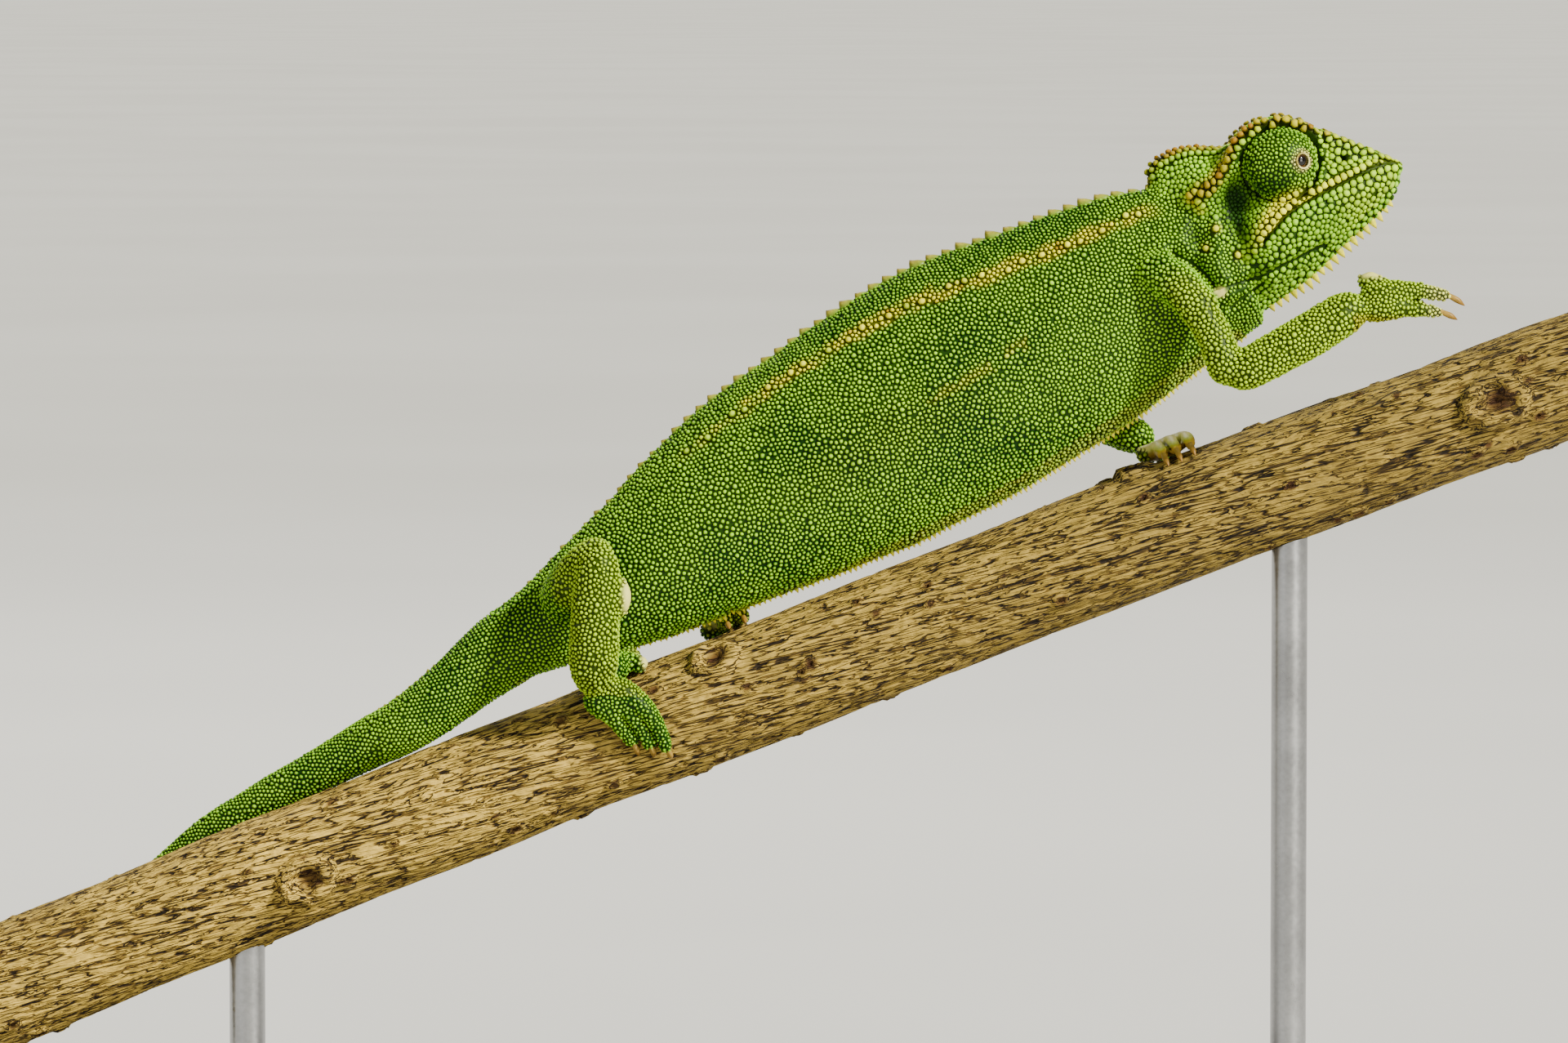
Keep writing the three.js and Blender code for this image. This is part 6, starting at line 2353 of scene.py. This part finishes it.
@dataclass
class Stand:
    """A flat base and two upright rods."""

    base: tuple[float, float, float] = (190.0, 84.0, 9.0)
    corner: float = 6.0
    edge: float = 1.0
    rod: float = 2.2
    rods: tuple[float, float] = (-66.0, 62.0)

    def build(self, wood: bpy.types.Material, steel: bpy.types.Material) -> None:
        """Makes the base and the rods."""
        plate = primitive("cube", "display_base", size=1.0)
        length, width, height = (v * MM for v in self.base)
        grow = Matrix.Diagonal((length, width, height, 1.0))
        plate.data.transform(Matrix.Translation((0, 0, height / 2)) @ grow)
        self.bevel(plate, self.corner, 14, lambda edge: abs(edge[0][2] - edge[1][2]) > height * 0.5)
        top = lambda edge: min(edge[0][2], edge[1][2]) > height * 0.9
        self.bevel(plate, self.edge, 4, top)
        self.bevel(plate, 0.4, 2, lambda edge: max(edge[0][2], edge[1][2]) < height * 0.1)
        soften(plate)
        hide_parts("stand_base")
        settle(plate, wood)
        for i, x in enumerate(self.rods):
            self.upright(i + 1, x, steel)

    def bevel(
        self, piece: bpy.types.Object, width: float, segments: int, chosen: Callable[[tuple], bool]
    ) -> None:
        """Bevels the edges that `chosen` picks by the places of their ends."""
        only(piece)
        bpy.ops.object.mode_set(mode="EDIT")
        bpy.ops.mesh.select_mode(type="EDGE")
        bpy.ops.mesh.select_all(action="DESELECT")
        mesh = bmesh.from_edit_mesh(piece.data)
        for edge in mesh.edges:
            if chosen(tuple(tuple(v.co) for v in edge.verts)) and edge.calc_face_angle(0) > 0.5:
                edge.select_set(True)
        bmesh.update_edit_mesh(piece.data)
        bpy.ops.mesh.bevel(offset=width * MM, segments=segments, affect="EDGES")
        bpy.ops.object.mode_set(mode="OBJECT")

    def upright(self, number: int, x: float, steel: bpy.types.Material) -> None:
        """One rod, whose top is hollowed to the branch's underside."""
        low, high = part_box(f"stand_rod_{number}")
        sizes = {"radius": self.rod * MM, "depth": high.z - low.z}
        rod = primitive("cylinder", f"display_rod_{number}", vertices=48, **sizes)
        rod.data.transform(Matrix.Translation((x * MM, 0.0, (low.z + high.z) / 2)))
        only(rod)
        bpy.ops.object.mode_set(mode="EDIT")
        mesh = bmesh.from_edit_mesh(rod.data)
        for face in mesh.faces:
            face.select_set(abs(face.normal.z) > 0.5 and face.calc_center_median().z > low.z + 0.01)
        bmesh.update_edit_mesh(rod.data)
        for _ in range(2):
            bpy.ops.mesh.inset(thickness=self.rod * 0.3 * MM)
        mesh = bmesh.from_edit_mesh(rod.data)
        for vertex in mesh.verts:
            if vertex.co.z > high.z - 1e-6:
                at = from_frame(np.array(vertex.co))
                under = math.sqrt(PERCH.radius**2 - at[1] ** 2) / math.cos(PERCH.slope)
                lift = float(PERCH_LIFT(at[0] / math.cos(PERCH.slope)))
                at[2] = at[0] * math.tan(PERCH.slope) - under + lift - SOLID_GAP * 0.5
                vertex.co = Vector(in_frame(at))
        bmesh.update_edit_mesh(rod.data)
        bpy.ops.object.mode_set(mode="OBJECT")
        soften(rod)
        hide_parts(f"stand_rod_{number}")
        settle(rod, steel)


# ------------------------------------------------------------------ the studio


@dataclass(frozen=True)
class Studio:
    """A pale floor, soft light and the camera on the animal's right."""

    distance: float = 1.1
    lens: float = 206.0
    elevation: float = math.radians(3.6)
    aim: float = 0.09475

    def build(self) -> None:
        """Sets up the camera, the lamps and the floor."""
        self.camera()
        self.lamps()
        self.floor()

    def camera(self) -> None:
        """A long lens at the height of the branch."""
        data = bpy.data.cameras.new("view")
        data.sensor_width, data.lens = 36.0, self.lens
        data.clip_start, data.clip_end = 0.05, 500.0
        back = Vector((0.0, -math.cos(self.elevation), math.sin(self.elevation)))
        at = Vector((0.0, 0.0, self.aim)) + back * self.distance
        bpy.context.scene.camera = self.hang(data, at, -back)

    def hang(self, data: bpy.types.ID, at: Vector, towards: Vector) -> bpy.types.Object:
        """Puts a camera or a lamp in its place, turned one way."""
        held = bpy.data.objects.new(data.name, data)
        held.location = at
        held.rotation_mode = "QUATERNION"
        held.rotation_quaternion = towards.to_track_quat("-Z", "Y")
        bpy.context.scene.collection.objects.link(held)
        return held

    def lamps(self) -> None:
        """A key light from the front right, a broad fill and the room's pale light."""
        rows = (
            ("key", "SUN", (0.72, -0.6, 0.8), 7.2, math.radians(4), (1.0, 0.96, 0.82)),
            ("front", "AREA", (0.42, -0.42, 0.24), 1.7, 0.25, (1.0, 0.97, 0.86)),
            ("fill", "AREA", (-0.9, -1.0, 0.5), 2.0, 0.9, (0.9, 0.95, 1.0)),
            ("rim", "AREA", (-0.3, 0.9, 0.9), 6.0, 0.5, (1.0, 0.98, 0.94)),
        )
        for name, kind, at, power, size, colour in rows:
            data = bpy.data.lights.new(name, kind)
            data.energy, data.color = power, colour
            setattr(data, "angle" if kind == "SUN" else "size", size)
            self.hang(data, Vector(at), Vector((0.0, 0.0, 0.1)) - Vector(at))
        world = bpy.data.worlds.new("room")
        world.use_nodes = True
        sky = world.node_tree.nodes["Background"]
        sky.inputs[0].default_value = (0.86, 0.87, 0.88, 1.0)
        sky.inputs[1].default_value = 0.28
        bpy.context.scene.world = world

    def floor(self) -> None:
        """A pale, matt floor."""
        floor = primitive("plane", "floor", size=400.0)
        material, board = new_material("pale_floor")
        tint = board.mix(board.span(board.noise(0.4), 0.3, 0.7), (0.66, 0.66, 0.65), (0.7, 0.7, 0.69))
        board.surface(Base_Color=tint, Roughness=0.9, Specular_IOR_Level=0.1)
        floor.data.materials.append(material)


# ------------------------------------------------------------------ the whole


def main() -> None:
    """Dresses the animal, its branch and the stand."""
    logging.basicConfig(level=logging.INFO, format="%(message)s")
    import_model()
    grain = fine_grain()
    hide = Hide()
    living = hide.group()
    parts = body()
    skin = Skin(parts)
    piece = skin.build()
    marks = MARKINGS.read(places_of(piece))
    # The bare skin sits low on rise, so it is painted dark as shade in the gaps between scales and in the
    # grooves between toes. The bald pads and toes sit high and keep their colour.
    level = 0.28 + 0.7 * MARKINGS.bald(places_of(piece)) * (1 - skin.between_toes(places_of(piece)))
    write_marks(piece, {**marks, "tone": np.full(len(level), 0.4), "rise": level})
    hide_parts(*flesh_nodes())
    settle(piece, hide.dress("bare_skin", living, 0.00006, 0.1))
    coat = Coat(skin, Chart(parts))
    coat.build(hide.dress("scaly_skin", living, 0.00003, 0.1))
    pale_horn = Horn("throat_cones", (0.55, 0.56, 0.008), (0.9, 0.76, 0.008)).material(grain)
    green_horn = Horn("back_cones", (0.12, 0.25, 0.012), (0.44, 0.31, 0.045)).material(grain)
    Spines(coat).build(pale_horn, green_horn)
    # On the eyes' rims the rise mark is painted light, so the dark root colour is painted shade and the pale
    # tip colour a painted highlight.
    rims = Horn("eye_rims", (0.24, 0.2, 0.025), (0.75, 0.68, 0.27), 0.45)
    Eyes().build(Eyeball().material(), rims.material(grain))
    Claws().build(Horn("claws", (0.4, 0.27, 0.05), (0.2, 0.09, 0.008), 0.38).material(grain))
    Branch().build(Bark().material(grain))
    wood = Grained("black_lacquer", (0.022, 0.018, 0.015), (0.035, 0.028, 0.022), 0.02, 0.002, 0.38, 0.0, 0.6)
    steel = Grained("brushed_steel", (0.36, 0.36, 0.37), (0.44, 0.44, 0.45), 0.01, 0.0006, 0.32, 1.0, 0.5)
    Stand().build(wood.material(grain), steel.material(grain))
    Studio().build()


if __name__ == "__main__":
    main()
